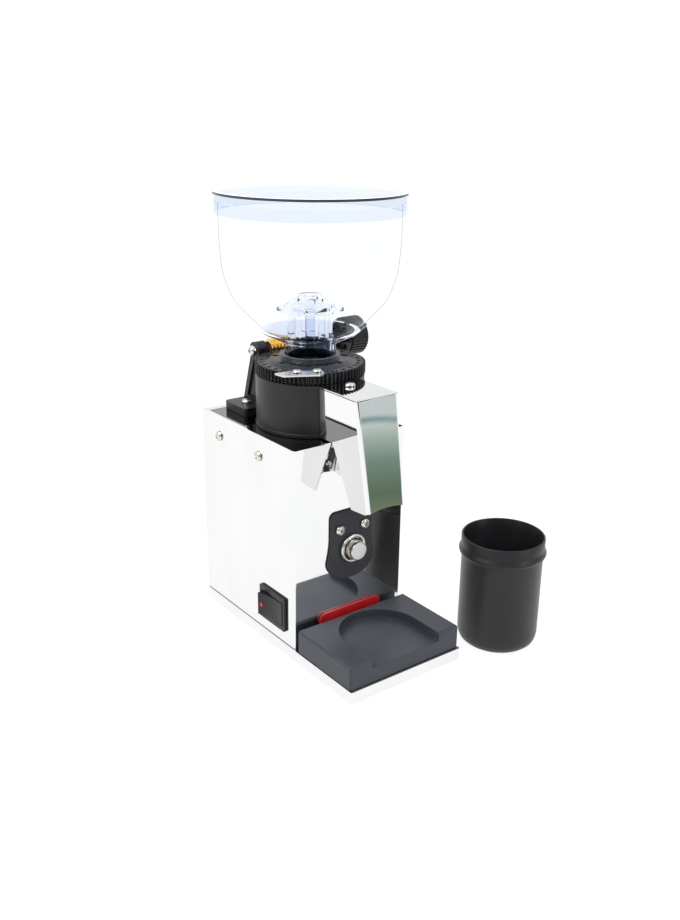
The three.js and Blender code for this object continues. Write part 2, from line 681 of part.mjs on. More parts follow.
function badgePlate() {
  const shape = new THREE.Shape();
  const { half, radius, z } = badge;
  shape.absarc(-half, z, radius, Math.PI / 2, 1.5 * Math.PI, false);
  shape.absarc(half, z, radius, -Math.PI / 2, Math.PI / 2, false);
  return facing(shape, body.front - 1.9, body.front - gap, 8);
}

// ---------------------------------------------------------------- tray and cup
function dripTray() {
  const half = tray.width / 2;
  const slab = block(-half, half, tray.front, tray.rear, base.height + gap, tray.top);
  const recess = new THREE.Shape();
  recess.moveTo(tray.recess, tray.front - 3);
  recess.lineTo(tray.recess, tray.recessY);
  recess.absarc(0, tray.recessY, tray.recess, 0, Math.PI, false);
  recess.lineTo(-tray.recess, tray.front - 3);
  return cut(slab, upright(recess, tray.recessFloor, tray.top + 2, 24));
}

function dosingCup() {
  const floor = -foot.drop;
  const { rim, bead, wall, height, beadZ, sheet } = cup;
  const outside = [[0, floor], [22.5, floor], [26.4, floor + 1.4], [29, floor + 4.4], [wall, floor + 8.5],
    [wall, beadZ - 3.2], [bead, beadZ - 1.4], [bead, beadZ + 1.4], [rim, beadZ + 3.2], [rim, height]];
  const inside = [[rim - sheet, height], [wall - sheet - 0.6, beadZ], [wall - sheet - 0.6, floor + 9],
    [25, floor + 3.2], [0, floor + 2]];
  return turned([...outside, ...inside], cup.x, cup.y, 32);
}

// ---------------------------------------------------------------- assembly
const object = new THREE.Group();
const place = new THREE.Group();
object.add(place);

place.add(part('base_pan', basePan(), mirrorSteel()), ...feet());
place.add(part('body_shell', bodyShell(), mirrorSteel()));
place.add(part('top_plate', topPlatePart(), mirrorSteel()));
place.add(part('rear_cover', rearCover(), mirrorSteel()));
place.add(part('cable_gland', cableGland(), rubber()));
place.add(...shellScrews(), ...motorParts(), ...electrics());
place.add(part('grinding_chamber', grindingChamber(), blackPlastic()));
place.add(part('chute', chuteBody(), mirrorSteel()));
place.add(part('chute_cap', chuteCap(), mirrorSteel()));
place.add(part('chute_screw', panHead(0, 72, 197.9, 3.9, 8), zincScrew()));
place.add(part('button_plaque', buttonPlaque(), greyPlate()));
place.add(part('plaque_screw_left', plaqueScrew(-1), zincScrew()));
place.add(part('plaque_screw_right', plaqueScrew(1), zincScrew()));
place.add(part('button_bezel', buttonBezel(), zincScrew()));
place.add(part('button_spring', buttonSpring(), zincScrew()));
place.add(part('rocker_housing', rockerHousing(), blackPlastic()));
place.add(part('worm_bracket', wormBracket(), blackPlastic()));
for (const [name, side] of [['bracket_screw_left', -1], ['bracket_screw_right', 1]]) {
  const head = panHead(side * bracket.screwX, bracket.screwY, topPlate.top + gap + bracket.thick, 3.9, 5);
  place.add(part(name, head, zincScrew()));
}
place.add(part('badge_plate', badgePlate(), finish(0xb01f1f, 0.35, 0)));
place.add(...shaftParts(), ...collarParts(), ...wormParts());
place.add(part('hopper_bowl', hopperBowl(), clearPlastic()));
place.add(part('finger_guard', fingerGuard(), clearPlastic()));
place.add(part('guard_bolt', guardBolt(), clearPlastic()));
place.add(part('hopper_lid', hopperLid(), clearPlastic()));
place.add(part('rocker_paddle', rockerPaddle(), blackPlastic()));
place.add(part('start_button', startButton(), zincScrew()));
place.add(part('drip_tray', dripTray(), trayPlastic()));
place.add(part('dosing_cup', dosingCup(), blackPlastic()));

// The origin is the middle of the whole set's footprint, on the surface it stands on.
const footprint = {
  left: -lid.radius, right: cup.x + cup.bead,
  front: cup.y - cup.bead, rear: gland.rear,
};
place.position.set(-(footprint.left + footprint.right) / 2,
  -(footprint.front + footprint.rear) / 2, foot.drop);

export default object;
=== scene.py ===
"""A burr coffee grinder with a clear hopper, bright steel panels, a rest tray and a dosing cup."""

import math

import bpy
from mathutils import Matrix, Vector


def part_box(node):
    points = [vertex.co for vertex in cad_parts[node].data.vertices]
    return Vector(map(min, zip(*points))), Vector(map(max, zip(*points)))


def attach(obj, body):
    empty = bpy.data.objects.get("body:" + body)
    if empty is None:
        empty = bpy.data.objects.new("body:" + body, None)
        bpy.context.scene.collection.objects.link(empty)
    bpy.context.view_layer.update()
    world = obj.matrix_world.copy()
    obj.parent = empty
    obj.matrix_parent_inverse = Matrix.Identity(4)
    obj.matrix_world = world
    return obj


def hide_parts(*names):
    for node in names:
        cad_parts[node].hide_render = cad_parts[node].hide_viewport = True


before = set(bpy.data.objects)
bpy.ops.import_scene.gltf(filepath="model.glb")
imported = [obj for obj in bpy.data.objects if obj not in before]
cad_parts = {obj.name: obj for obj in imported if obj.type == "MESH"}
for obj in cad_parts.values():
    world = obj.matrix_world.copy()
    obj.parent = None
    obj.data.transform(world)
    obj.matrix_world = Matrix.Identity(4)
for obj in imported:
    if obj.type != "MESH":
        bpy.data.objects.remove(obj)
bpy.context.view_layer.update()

MM = 0.001
ALONG = {"X": Vector((1, 0, 0)), "Y": Vector((0, 1, 0)), "Z": Vector((0, 0, 1))}
OUTWARD = {"X": Vector((0, 1, 0)), "Y": Vector((1, 0, 0)), "Z": Vector((1, 0, 0))}

# The maker's zero: the middle of the base pan's front edge, at the pan's underside.
pan_low, pan_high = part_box("base_pan")
ZERO = Vector(((pan_low.x + pan_high.x) / 2, pan_low.y, pan_low.z))

# Millimetres from the maker's zero.
BODY_HALF = 49.1
BODY_FRONT = 68.4
BODY_REAR = 192.0
BODY_BOTTOM = 9.0
BODY_TOP = 160.8
SHEET = 1.2
BURR_Y = 118.9
BUTTON_Z = 78.0
WORM_Y = 164.1
WORM_Z = 207.0
CUP_X = 97.9
CUP_Y = 9.7
PANEL_SCREW_Z = 144.7
PANEL_SCREW_YS = {"front": 112.8, "rear": 167.1}
PLAQUE_SCREW_X = 11.1
PLAQUE_SCREW_Z = 94.2
BUTTON_HOLE = 9.8
SCREW_HOLE = 2.4
CHAMBER_ROOM = 40.8
CHUTE_TOP = 196.6
CHUTE_MOUTH = 120.4


def at(x, y, z):
    """A point given in millimetres from the maker's zero, in the row frame."""
    return ZERO + Vector((x, y, z)) * MM


# ------------------------------------------------------------------ node helpers
def fill(node, values):
    """Gives several inputs of a node their values."""
    for name, value in values.items():
        node.inputs[name].default_value = value


def maths(tree, operation, *sources):
    """A maths node on outputs of other nodes and plain numbers; gives its own output."""
    node = tree.nodes.new("ShaderNodeMath")
    node.operation = operation
    for place, source in zip(node.inputs, sources):
        if isinstance(source, float):
            place.default_value = source
        else:
            tree.links.new(source, place)
    return node.outputs["Value"]


# ------------------------------------------------------------------ camera, light and floor
def make_camera():
    turn, tip, roll = -0.651028, 0.352051, 0.013355
    forward = Vector((-math.sin(turn) * math.cos(tip), math.cos(turn) * math.cos(tip), -math.sin(tip)))
    level = forward.cross(ALONG["Z"]).normalized()
    upright = level.cross(forward)
    side = math.cos(roll) * level + math.sin(roll) * upright
    top = math.cos(roll) * upright - math.sin(roll) * level
    bpy.ops.object.camera_add(location=at(-398.89, -441.8, 382.55))
    camera = bpy.context.object
    camera.name = "camera"
    camera.rotation_mode = "QUATERNION"
    camera.rotation_quaternion = Matrix((side, top, -forward)).transposed().to_quaternion()
    camera.data.lens = 38.3
    camera.data.sensor_width = 36
    camera.data.clip_start = 0.01
    bpy.context.scene.camera = camera


def softbox(name, place, target, width, height, power, colour=(1, 1, 1)):
    """A large soft lamp that looks at a point."""
    bpy.ops.object.light_add(type="AREA", location=place)
    lamp = bpy.context.object
    lamp.name = name
    lamp.data.shape = "RECTANGLE"
    lamp.data.size = width
    lamp.data.size_y = height
    lamp.data.energy = power
    lamp.data.color = colour
    lamp.rotation_mode = "QUATERNION"
    lamp.rotation_quaternion = (target - Vector(place)).to_track_quat("-Z", "Y")
    return lamp


def make_world():
    """White where it is looked at, also through clear plastic; its light is strong above and behind."""
    world = bpy.data.worlds.new("studio")
    world.use_nodes = True
    tree = world.node_tree
    plain = tree.nodes["Background"]
    fill(plain, {"Color": (1, 1, 1, 1), "Strength": 1.05})
    coords = tree.nodes.new("ShaderNodeTexCoord")
    split = tree.nodes.new("ShaderNodeSeparateXYZ")
    tree.links.new(coords.outputs["Generated"], split.inputs["Vector"])
    spans = []
    for part, start, stop, low, high in (("Y", -0.75, 0.15, 0.10, 0.97), ("Z", 0.12, 0.62, 0.0, 1.0)):
        span = tree.nodes.new("ShaderNodeMapRange")
        span.interpolation_type = "SMOOTHSTEP"
        fill(span, {"From Min": start, "From Max": stop, "To Min": low, "To Max": high})
        tree.links.new(split.outputs[part], span.inputs["Value"])
        spans.append(span.outputs["Result"])
    room = tree.nodes.new("ShaderNodeBackground")
    room.inputs["Color"].default_value = (0.98, 0.99, 1.0, 1)
    tree.links.new(maths(tree, "MAXIMUM", *spans), room.inputs["Strength"])
    path = tree.nodes.new("ShaderNodeLightPath")
    seen = maths(tree, "MAXIMUM", path.outputs["Is Camera Ray"], path.outputs["Is Transmission Ray"])
    choice = tree.nodes.new("ShaderNodeMixShader")
    tree.links.new(seen, choice.inputs["Fac"])
    tree.links.new(room.outputs["Background"], choice.inputs[1])
    tree.links.new(plain.outputs["Background"], choice.inputs[2])
    tree.links.new(choice.outputs["Shader"], tree.nodes["World Output"].inputs["Surface"])
    bpy.context.scene.world = world
    bpy.context.scene.view_settings.view_transform = "Standard"


def make_floor():
    """A pale sheet that lifts its own brightness a little, so that it runs out to plain white."""
    bpy.ops.mesh.primitive_circle_add(vertices=96, radius=14, fill_type="NGON", location=(0, 0, 0))
    floor = bpy.context.object
    floor.name = "floor"
    material = bpy.data.materials.new("floor_paper")
    material.use_nodes = True
    shader = material.node_tree.nodes["Principled BSDF"]
    fill(shader, {"Base Color": (0.16, 0.16, 0.162, 1), "Roughness": 0.9, "Specular IOR Level": 0.1,
                  "Emission Color": (1, 1, 1, 1), "Emission Strength": 0.91})
    floor.data.materials.append(material)


def card_glow(name, height, bow, tones):
    """Tones from the bottom of a card to its top, bowed upwards towards its sides."""
    material = bpy.data.materials.new(name)
    material.use_nodes = True
    tree = material.node_tree
    tree.nodes.clear()
    output = tree.nodes.new("ShaderNodeOutputMaterial")
    glow = tree.nodes.new("ShaderNodeEmission")
    coords = tree.nodes.new("ShaderNodeTexCoord")
    split = tree.nodes.new("ShaderNodeSeparateXYZ")
    span = tree.nodes.new("ShaderNodeMapRange")
    fill(span, {"From Min": -height / 2, "From Max": height / 2})
    ramp = tree.nodes.new("ShaderNodeValToRGB")
    stops = ramp.color_ramp.elements
    stops[0].position, stops[0].color = tones[0][0], (*tones[0][1], 1)
    stops[1].position, stops[1].color = tones[-1][0], (*tones[-1][1], 1)
    for place, tone in tones[1:-1]:
        stop = stops.new(place)
        stop.color = (*tone, 1)
    tree.links.new(coords.outputs["Object"], split.inputs["Vector"])
    square = maths(tree, "MULTIPLY", split.outputs["X"], split.outputs["X"])
    rise = maths(tree, "MULTIPLY_ADD", square, bow, split.outputs["Y"])
    tree.links.new(rise, span.inputs["Value"])
    tree.links.new(span.outputs["Result"], ramp.inputs["Fac"])
    tree.links.new(ramp.outputs["Color"], glow.inputs["Color"])
    tree.links.new(glow.outputs["Emission"], output.inputs["Surface"])
    return material


def make_far_wall():
    """A card that only reflections see, with the green tones that the spout's front shows."""
    ahead = Vector((0.569, -0.8195, 0))
    upright, facing = ALONG["Z"], -ahead
    width, height = 0.8, 0.26
    tones = [(0.0, (0.20, 0.24, 0.16)), (0.16, (0.12, 0.18, 0.12)), (0.36, (0.20, 0.29, 0.23)),
             (0.50, (0.40, 0.49, 0.44)), (0.58, (0.60, 0.66, 0.64)), (0.615, (0.16, 0.30, 0.30)),
             (0.64, (0.60, 0.67, 0.66)), (1.0, (0.72, 0.74, 0.73))]
    bpy.ops.mesh.primitive_plane_add(size=1)
    card = bpy.context.object
    card.name = "far_wall"
    card.scale = (width, height, 1)
    bpy.ops.object.transform_apply(scale=True)
    card.rotation_mode = "QUATERNION"
    card.rotation_quaternion = Matrix((upright.cross(facing), upright, facing)).transposed().to_quaternion()
    card.location = at(0, 34.7, 127.5) + ahead * 0.9
    card.data.materials.append(card_glow("far_wall", height, 1.7, tones))
    card.visible_camera = False
    card.visible_diffuse = False
    card.visible_shadow = False
    card.visible_transmission = False


make_camera()
make_world()
make_floor()
make_far_wall()
middle = at(0, 110, 150)
softbox("key_light", (-0.95, 0.1, 1.3), middle, 0.9, 0.9, 10)
softbox("front_light", (0.55, -1.5, 0.95), middle, 0.7, 0.9, 7, (0.90, 0.95, 1.0))


# ------------------------------------------------------------------ finishes
def new_finish(name, colour, roughness, metal=0.0):
    """A material whose shader starts with an even colour, roughness and metal."""
    material = bpy.data.materials.new(name)
    material.use_nodes = True
    shader = material.node_tree.nodes["Principled BSDF"]
    fill(shader, {"Base Color": (*colour, 1), "Roughness": roughness, "Metallic": metal})
    if metal == 0:
        shader.inputs["Specular IOR Level"].default_value = 0.35
    return material, material.node_tree, shader


def cloud(tree, scale, detail=3.0, stretch=(1, 1, 1), rough=0.5):
    """A noise pattern on Object coordinates, 0 to 1."""
    coords = tree.nodes.new("ShaderNodeTexCoord")
    mapping = tree.nodes.new("ShaderNodeMapping")
    mapping.inputs["Scale"].default_value = stretch
    noise = tree.nodes.new("ShaderNodeTexNoise")
    fill(noise, {"Scale": scale, "Detail": detail, "Roughness": rough})
    tree.links.new(coords.outputs["Object"], mapping.inputs["Vector"])
    tree.links.new(mapping.outputs["Vector"], noise.inputs["Vector"])
    return noise.outputs[0]


def layers(tree, direction, per_metre, wobble=0.0):
    """Fine straight bands across one direction, 0 to 1."""
    coords = tree.nodes.new("ShaderNodeTexCoord")
    wave = tree.nodes.new("ShaderNodeTexWave")
    wave.wave_type = "BANDS"
    wave.bands_direction = direction
    fill(wave, {"Scale": per_metre, "Distortion": wobble})
    tree.links.new(coords.outputs["Object"], wave.inputs["Vector"])
    return wave.outputs["Fac"]


def between(tree, pattern, low, high, start=0.3, stop=0.7):
    """Turns a 0 to 1 pattern into a range of values."""
    span = tree.nodes.new("ShaderNodeMapRange")
    fill(span, {"From Min": start, "From Max": stop, "To Min": low, "To Max": high})
    tree.links.new(pattern, span.inputs["Value"])
    return span.outputs["Result"]


def tint(tree, pattern, first, second, start=0.3, stop=0.7):
    """Blends two colours by a pattern."""
    ramp = tree.nodes.new("ShaderNodeValToRGB")
    stops = ramp.color_ramp.elements
    stops[0].position, stops[0].color = start, (*first, 1)
    stops[1].position, stops[1].color = stop, (*second, 1)
    tree.links.new(pattern, ramp.inputs["Fac"])
    return ramp.outputs["Color"]


def bump(tree, shader, pattern, strength, depth):
    """Raises the surface by a pattern; several calls add up."""
    node = tree.nodes.new("ShaderNodeBump")
    fill(node, {"Strength": strength, "Distance": depth})
    tree.links.new(pattern, node.inputs["Height"])
    before = shader.inputs["Normal"].links
    if before:
        tree.links.new(before[0].from_socket, node.inputs["Normal"])
    tree.links.new(node.outputs["Normal"], shader.inputs["Normal"])


def polished_steel():
    material, tree, shader = new_finish("polished_steel", (0.84, 0.84, 0.83), 0.03, 1.0)
    smears = cloud(tree, 26, 4, (1, 1, 0.35))
    tree.links.new(between(tree, smears, 0.02, 0.055), shader.inputs["Roughness"])
    tree.links.new(tint(tree, smears, (0.86, 0.86, 0.85), (0.82, 0.825, 0.825)), shader.inputs["Base Color"])
    bump(tree, shader, cloud(tree, 9, 1), 0.012, 0.004)
    return material


def screw_metal(name, colour, roughness):
    material, tree, shader = new_finish(name, colour, roughness, 1.0)
    pits = cloud(tree, 900, 3)
    tree.links.new(between(tree, pits, roughness * 0.7, roughness * 1.5), shader.inputs["Roughness"])
    bump(tree, shader, pits, 0.08, 0.0002)
    return material


def turned_metal(name, colour, roughness, scale=2600):
    """Metal with fine machining rings across Y."""
    material, tree, shader = new_finish(name, colour, roughness, 1.0)
    rings = cloud(tree, scale, 2, (1, 0.05, 1))
    tree.links.new(between(tree, rings, roughness * 0.7, roughness * 1.4), shader.inputs["Roughness"])
    bump(tree, shader, rings, 0.15, 0.0001)
    return material


def satin_plastic(name, dark, pale, roughness, grain=0.12):
    """Moulded plastic with a fine spark-eroded grain."""
    material, tree, shader = new_finish(name, dark, roughness)
    patches = cloud(tree, 45, 3)
    tree.links.new(tint(tree, patches, dark, pale), shader.inputs["Base Color"])
    tree.links.new(between(tree, patches, roughness * 0.9, roughness * 1.12), shader.inputs["Roughness"])
    bump(tree, shader, cloud(tree, 2400, 2), grain, 0.0002)
    return material


def painted_glow_lining():
    """The inner side of the lid's edge line; it glows a little, painted light, so that it doesn't show dark
    in its shade.
    """
    material = satin_plastic("painted_glow_lining", (0.86, 0.88, 0.92), (0.90, 0.92, 0.95), 0.4, 0.02)
    shader = material.node_tree.nodes["Principled BSDF"]
    fill(shader, {"Emission Color": (0.9, 0.94, 1.0, 1), "Emission Strength": 0.9})
    return material


def layered_plastic(name, dark, pale, roughness, direction, height=0.12):
    """Plastic built up in fine layers, with bands across one direction."""
    material, tree, shader = new_finish(name, dark, roughness)
    patches = cloud(tree, 30, 3)
    tree.links.new(tint(tree, patches, dark, pale), shader.inputs["Base Color"])
    tree.links.new(between(tree, patches, roughness * 0.9, roughness * 1.1), shader.inputs["Roughness"])
    bump(tree, shader, layers(tree, direction, 520, 0.4), height, 0.0002)
    bump(tree, shader, cloud(tree, 1800, 2), 0.10, 0.0002)
    return material


def clear_plastic(name, tone, ior, coat=0.0):
    """Clear moulded plastic: each face the light crosses takes a little of its red."""
    material, tree, shader = new_finish(name, tone, 0.0)
    fill(shader, {"Transmission Weight": 1.0, "IOR": ior, "Coat Weight": coat, "Coat Roughness": 0.02})
    deeper = tuple(part * 0.985 for part in tone)
    tree.links.new(tint(tree, cloud(tree, 12, 1, (1, 1, 0.1)), deeper, tone), shader.inputs["Base Color"])
    bump(tree, shader, cloud(tree, 14, 2), 0.02, 0.002)
    return material


def red_enamel():
    material, tree, shader = new_finish("red_enamel", (0.52, 0.012, 0.014), 0.24)
    fill(shader, {"Coat Weight": 0.6, "Coat Roughness": 0.08})
    flow = cloud(tree, 160, 2)
    tree.links.new(tint(tree, flow, (0.48, 0.009, 0.011), (0.58, 0.016, 0.016)), shader.inputs["Base Color"])
    bump(tree, shader, flow, 0.05, 0.0004)
    return material


def brass_metal():
    material, tree, shader = new_finish("turned_brass", (0.96, 0.72, 0.30), 0.2, 1.0)
    marks = cloud(tree, 700, 3, (0.2, 1, 1))
    tree.links.new(tint(tree, marks, (0.98, 0.76, 0.34), (0.88, 0.60, 0.20)), shader.inputs["Base Color"])
    tree.links.new(between(tree, marks, 0.14, 0.3), shader.inputs["Roughness"])
    bump(tree, shader, marks, 0.06, 0.0002)
    return material


def rubber_black():
    material, tree, shader = new_finish("black_rubber", (0.012, 0.012, 0.012), 0.8)
    chalk = cloud(tree, 600, 4)
    tree.links.new(between(tree, chalk, 0.7, 0.92), shader.inputs["Roughness"])
    bump(tree, shader, chalk, 0.2, 0.0003)
    return material


def copper_winding():
    material, tree, shader = new_finish("copper_winding", (0.55, 0.24, 0.10), 0.35, 1.0)
    wires = layers(tree, "Z", 260, 1.5)
    tree.links.new(tint(tree, wires, (0.32, 0.12, 0.05), (0.66, 0.31, 0.14), 0.2, 0.8),
                   shader.inputs["Base Color"])
    bump(tree, shader, wires, 0.5, 0.0005)
    return material


FINISHES = {
    "steel": (polished_steel(), "bright_steel"),
    "deck": (screw_metal("dark_deck_steel", (0.23, 0.23, 0.235), 0.06), "bright_steel"),
    "screw": (screw_metal("zinc_screw", (0.70, 0.67, 0.62), 0.14), "zinc_screw"),
    "button": (turned_metal("brushed_button", (0.60, 0.59, 0.58), 0.22), "zinc_screw"),
    "black": (satin_plastic("black_plastic", (0.010, 0.010, 0.011), (0.015, 0.015, 0.017), 0.34),
              "black_plastic"),
    "collar": (satin_plastic("collar_plastic", (0.012, 0.012, 0.013), (0.018, 0.018, 0.020), 0.27),
               "black_plastic"),
    "chamber": (satin_plastic("chamber_plastic", (0.011, 0.011, 0.011), (0.018, 0.018, 0.018), 0.40),
                "black_plastic"),
    "plate": (satin_plastic("plate_plastic", (0.030, 0.031, 0.036), (0.038, 0.039, 0.045), 0.5, 0.2),
              "grey_plate"),
    # The blue cast of the tray's colour is painted light: it stands in for the cool light its top and front
    # take from the front.
    "tray": (layered_plastic("tray_plastic", (0.038, 0.042, 0.052), (0.048, 0.053, 0.065), 0.42, "X"),
             "tray_plastic"),
    "cup": (layered_plastic("cup_plastic", (0.009, 0.009, 0.011), (0.015, 0.015, 0.017), 0.33, "Z", 0.3),
            "cup_plastic"),
    "brass": (brass_metal(), "brass"),
    "clear": (clear_plastic("clear_plastic", (0.966, 0.982, 0.998), 1.005, 0.2), "clear_plastic"),
    "lid": (clear_plastic("clear_lid_plastic", (0.855, 0.895, 0.955), 1.01), "clear_plastic"),
    "thick": (clear_plastic("clear_neck_plastic", (0.74, 0.80, 0.92), 1.08), "clear_plastic"),
    "guard": (clear_plastic("clear_guard_plastic", (0.95, 0.962, 0.98), 1.12), "clear_plastic"),
    # Painted shade: the dark ring on the lid's top edge stands in for the dark look refraction gives the
    # clear rim.
    "edge": (satin_plastic("painted_shade_edge", (0.035, 0.037, 0.050), (0.050, 0.052, 0.070), 0.25, 0.02),
             "clear_plastic"),
    # Painted light: the lining's glow hides the shade on the inner side of the lid's edge band.
    "lining": (painted_glow_lining(), "clear_plastic"),
    "motor": (screw_metal("motor_steel", (0.35, 0.355, 0.36), 0.42), "motor_steel"),
    "burr": (screw_metal("burr_steel", (0.46, 0.46, 0.47), 0.3), "burr_steel"),
    "copper": (copper_winding(), "copper_winding"),
    "rubber": (rubber_black(), "rubber"),
    "terminal": (satin_plastic("terminal_plastic", (0.55, 0.54, 0.50), (0.62, 0.61, 0.57), 0.45),
                 "terminal_plastic"),
    "red": (red_enamel(), "red_enamel"),
}


# ------------------------------------------------------------------ making pieces
def deselect():
    if bpy.context.object and bpy.context.object.mode != "OBJECT":
        bpy.ops.object.mode_set(mode="OBJECT")
    bpy.ops.object.select_all(action="DESELECT")


def only(piece):
    deselect()
    piece.select_set(True)
    bpy.context.view_layer.objects.active = piece


def edit(piece):
    """Opens a piece in edit mode with all of it selected."""
    only(piece)
    bpy.ops.object.mode_set(mode="EDIT")
    bpy.ops.mesh.select_mode(type="VERT")
    bpy.ops.mesh.select_all(action="SELECT")


def close_up():
    """Merges doubles, turns the faces outwards and leaves edit mode."""
    bpy.ops.mesh.select_all(action="SELECT")
    bpy.ops.mesh.remove_doubles(threshold=0.000002)
    bpy.ops.mesh.normals_make_consistent(inside=False)
    bpy.ops.object.mode_set(mode="OBJECT")


def settle(piece):
    """Moves a piece's place into its mesh."""
    only(piece)
    bpy.ops.object.transform_apply(location=True, rotation=True, scale=True)
    return piece


def block(name, low, high):
    """A cube between two corners in millimetres from the maker's zero."""
    deselect()
    low, high = at(*low), at(*high)
    bpy.ops.mesh.primitive_cube_add(size=1, location=(low + high) / 2, scale=high - low)
    piece = bpy.context.object
    piece.name = name
    return settle(piece)


def line(name, points):
    """One vertex drawn on from point to point; stays in edit mode, all selected."""
    deselect()
    bpy.ops.mesh.primitive_plane_add(size=0.002, location=points[0])
    piece = bpy.context.object
    piece.name = name
    bpy.ops.object.mode_set(mode="EDIT")
    bpy.ops.mesh.select_mode(type="VERT")
    bpy.ops.mesh.select_all(action="SELECT")
    bpy.ops.mesh.merge(type="CENTER")
    for before, after in zip(points, points[1:]):
        bpy.ops.mesh.extrude_vertices_move(TRANSFORM_OT_translate={"value": after - before})
    bpy.ops.mesh.select_all(action="SELECT")
    return piece


def turned(name, profile, centre, axis="Z", steps=96):
    """A turned piece: its (radius, distance) profile is drawn, then spun round the axis."""
    along, out = ALONG[axis], OUTWARD[axis]
    points = [centre + (out * radius + along * distance) * MM for radius, distance in profile]
    piece = line(name, points)
    bpy.ops.mesh.spin(steps=steps, angle=math.tau, center=centre, axis=along, use_auto_merge=True)
    close_up()
    return settle(piece)


def rod(name, radius, near, far, centre, axis="Z", steps=96):
    """A round bar between two distances along an axis."""
    return turned(name, [(0, near), (radius, near), (radius, far), (0, far)], centre, axis, steps)


def plate(name, outline, thickness):
    """A flat outline of points filled and pushed out by a thickness vector."""
    piece = line(name, outline)
    bpy.ops.mesh.edge_face_add()
    bpy.ops.mesh.extrude_region_move(TRANSFORM_OT_translate={"value": thickness})
    close_up()
    return settle(piece)


def pick(piece, kind, test):
    """Selects faces by (centre, normal) or edges by (middle, direction), in edit mode."""
    only(piece)
    bpy.ops.object.mode_set(mode="EDIT")
    bpy.ops.mesh.select_mode(type=kind)
    bpy.ops.mesh.select_all(action="DESELECT")
    bpy.ops.object.mode_set(mode="OBJECT")
    mesh = piece.data
    if kind == "FACE":
        for face in mesh.polygons:
            face.select = test(face.center, face.normal)
    else:
        for edge in mesh.edges:
            start, stop = (mesh.vertices[i].co for i in edge.vertices)
            edge.select = test((start + stop) / 2, (stop - start).normalized())
    bpy.ops.object.mode_set(mode="EDIT")


def join(name, *pieces):
    only(pieces[0])
    for piece in pieces[1:]:
        piece.select_set(True)
    bpy.ops.object.join()
    pieces[0].name = name
    return pieces[0]


def apply(piece, kind, **settings):
    """Adds a modifier with these settings and applies it."""
    only(piece)
    bpy.ops.object.modifier_add(type=kind)
    modifier = piece.modifiers[-1]
    for setting, value in settings.items():
        setattr(modifier, setting, value)
    bpy.ops.object.modifier_apply(modifier=modifier.name)


def carve(piece, cutter, operation="DIFFERENCE"):
    """Cuts a piece with another, or welds the other on, and removes the other."""
    apply(piece, "BOOLEAN", operation=operation, object=cutter, solver="EXACT")
    only(cutter)
    bpy.ops.object.delete()
    return piece


def drill(piece, radius, near, far, centre, axis="Z", steps=96):
    """Cuts a round hole between two distances along an axis."""
    return carve(piece, rod("drill", radius, near, far, centre, axis, steps))


def soften(piece, width, segments=3, angle=32):
    """Rounds every sharp edge by a width in millimetres and smooths the shading."""
    only(piece)
    bpy.ops.object.shade_smooth()
    apply(piece, "BEVEL", width=width * MM, segments=segments, limit_method="ANGLE",
          angle_limit=math.radians(angle), harden_normals=True)
    return piece


def flatten(piece):
    """Lets the large flat faces of a folded sheet reflect as true mirrors."""
    apply(piece, "WEIGHTED_NORMAL", weight=100, keep_sharp=True)
    return piece


def smooth(piece, angle):
    """Smooth shading, with edges sharper than the angle kept."""
    only(piece)
    bpy.ops.object.shade_smooth_by_angle(angle=math.radians(angle))
    return piece


def copied(piece, name, move=(0, 0, 0)):
    """A copy with its own mesh, moved by millimetres."""
    only(piece)
    bpy.ops.object.duplicate(linked=False)
    copy = bpy.context.object
    copy.name = name
    copy.location = Vector(move) * MM
    return settle(copy)


def turn_about(piece, centre, axis, degrees):
    """Turns a finished mesh about an axis through a point."""
    spin = Matrix.Rotation(math.radians(degrees), 4, axis)
    piece.matrix_world = Matrix.Translation(centre) @ spin @ Matrix.Translation(-centre)
    return settle(piece)


def ringed(cutter, count, centre, axis):
    """Repeats a cutter evenly round an axis."""
    edit(cutter)
    bpy.ops.mesh.spin(steps=count, angle=math.tau, dupli=True, center=centre, axis=ALONG[axis],
                      use_auto_merge=False)
    bpy.ops.mesh.select_all(action="SELECT")
    bpy.ops.mesh.remove_doubles(threshold=0.00001)
    bpy.ops.object.mode_set(mode="OBJECT")
    return cutter


def hand_over(piece, body, finish, *nodes):
    """Gives a piece its finish and its body, and hides the CAD nodes it stands for."""
    material, slot = FINISHES[finish]
    piece.data.materials.clear()
    piece.data.materials.append(material)
    if nodes:
        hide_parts(*nodes)
    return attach(piece, body)


def second_finish(piece, finish, test):
    """Gives the faces that pass a test, by centre and normal, another finish."""
    piece.data.materials.append(FINISHES[finish][0])
    for face in piece.data.polygons:
        if test(face.center, face.normal):
            face.material_index = 1


def arc(radius, start, stop, steps):
    """Points (a, b) on an arc, by angles in degrees."""
    angles = [math.radians(start + (stop - start) * i / steps) for i in range(steps + 1)]
    return [(radius * math.cos(angle), radius * math.sin(angle)) for angle in angles]


def curve(start, bend, stop, steps):
    """Points after the start on a curve that leans towards the bend."""
    points = []
    for i in range(1, steps + 1):
        t = i / steps
        points.append(tuple((1 - t) ** 2 * a + 2 * t * (1 - t) * b + t * t * c
                            for a, b, c in zip(start, bend, stop)))
    return points


# ------------------------------------------------------------------ base and body
def make_base_pan():
    pan = block("base_pan_shell", (-50, 0, 0), (50, 192, 8.7))
    pick(pan, "EDGE", lambda middle, way: abs(way.z) > 0.9)
    bpy.ops.mesh.bevel(offset=1.2 * MM, segments=3, affect="EDGES")
    pick(pan, "FACE", lambda centre, normal: normal.z < -0.9)
    bpy.ops.mesh.delete(type="FACE")
    apply(pan, "SOLIDIFY", thickness=SHEET * MM, offset=-1)
    hand_over(flatten(soften(pan, 0.45)), "housing", "steel", "base_pan")


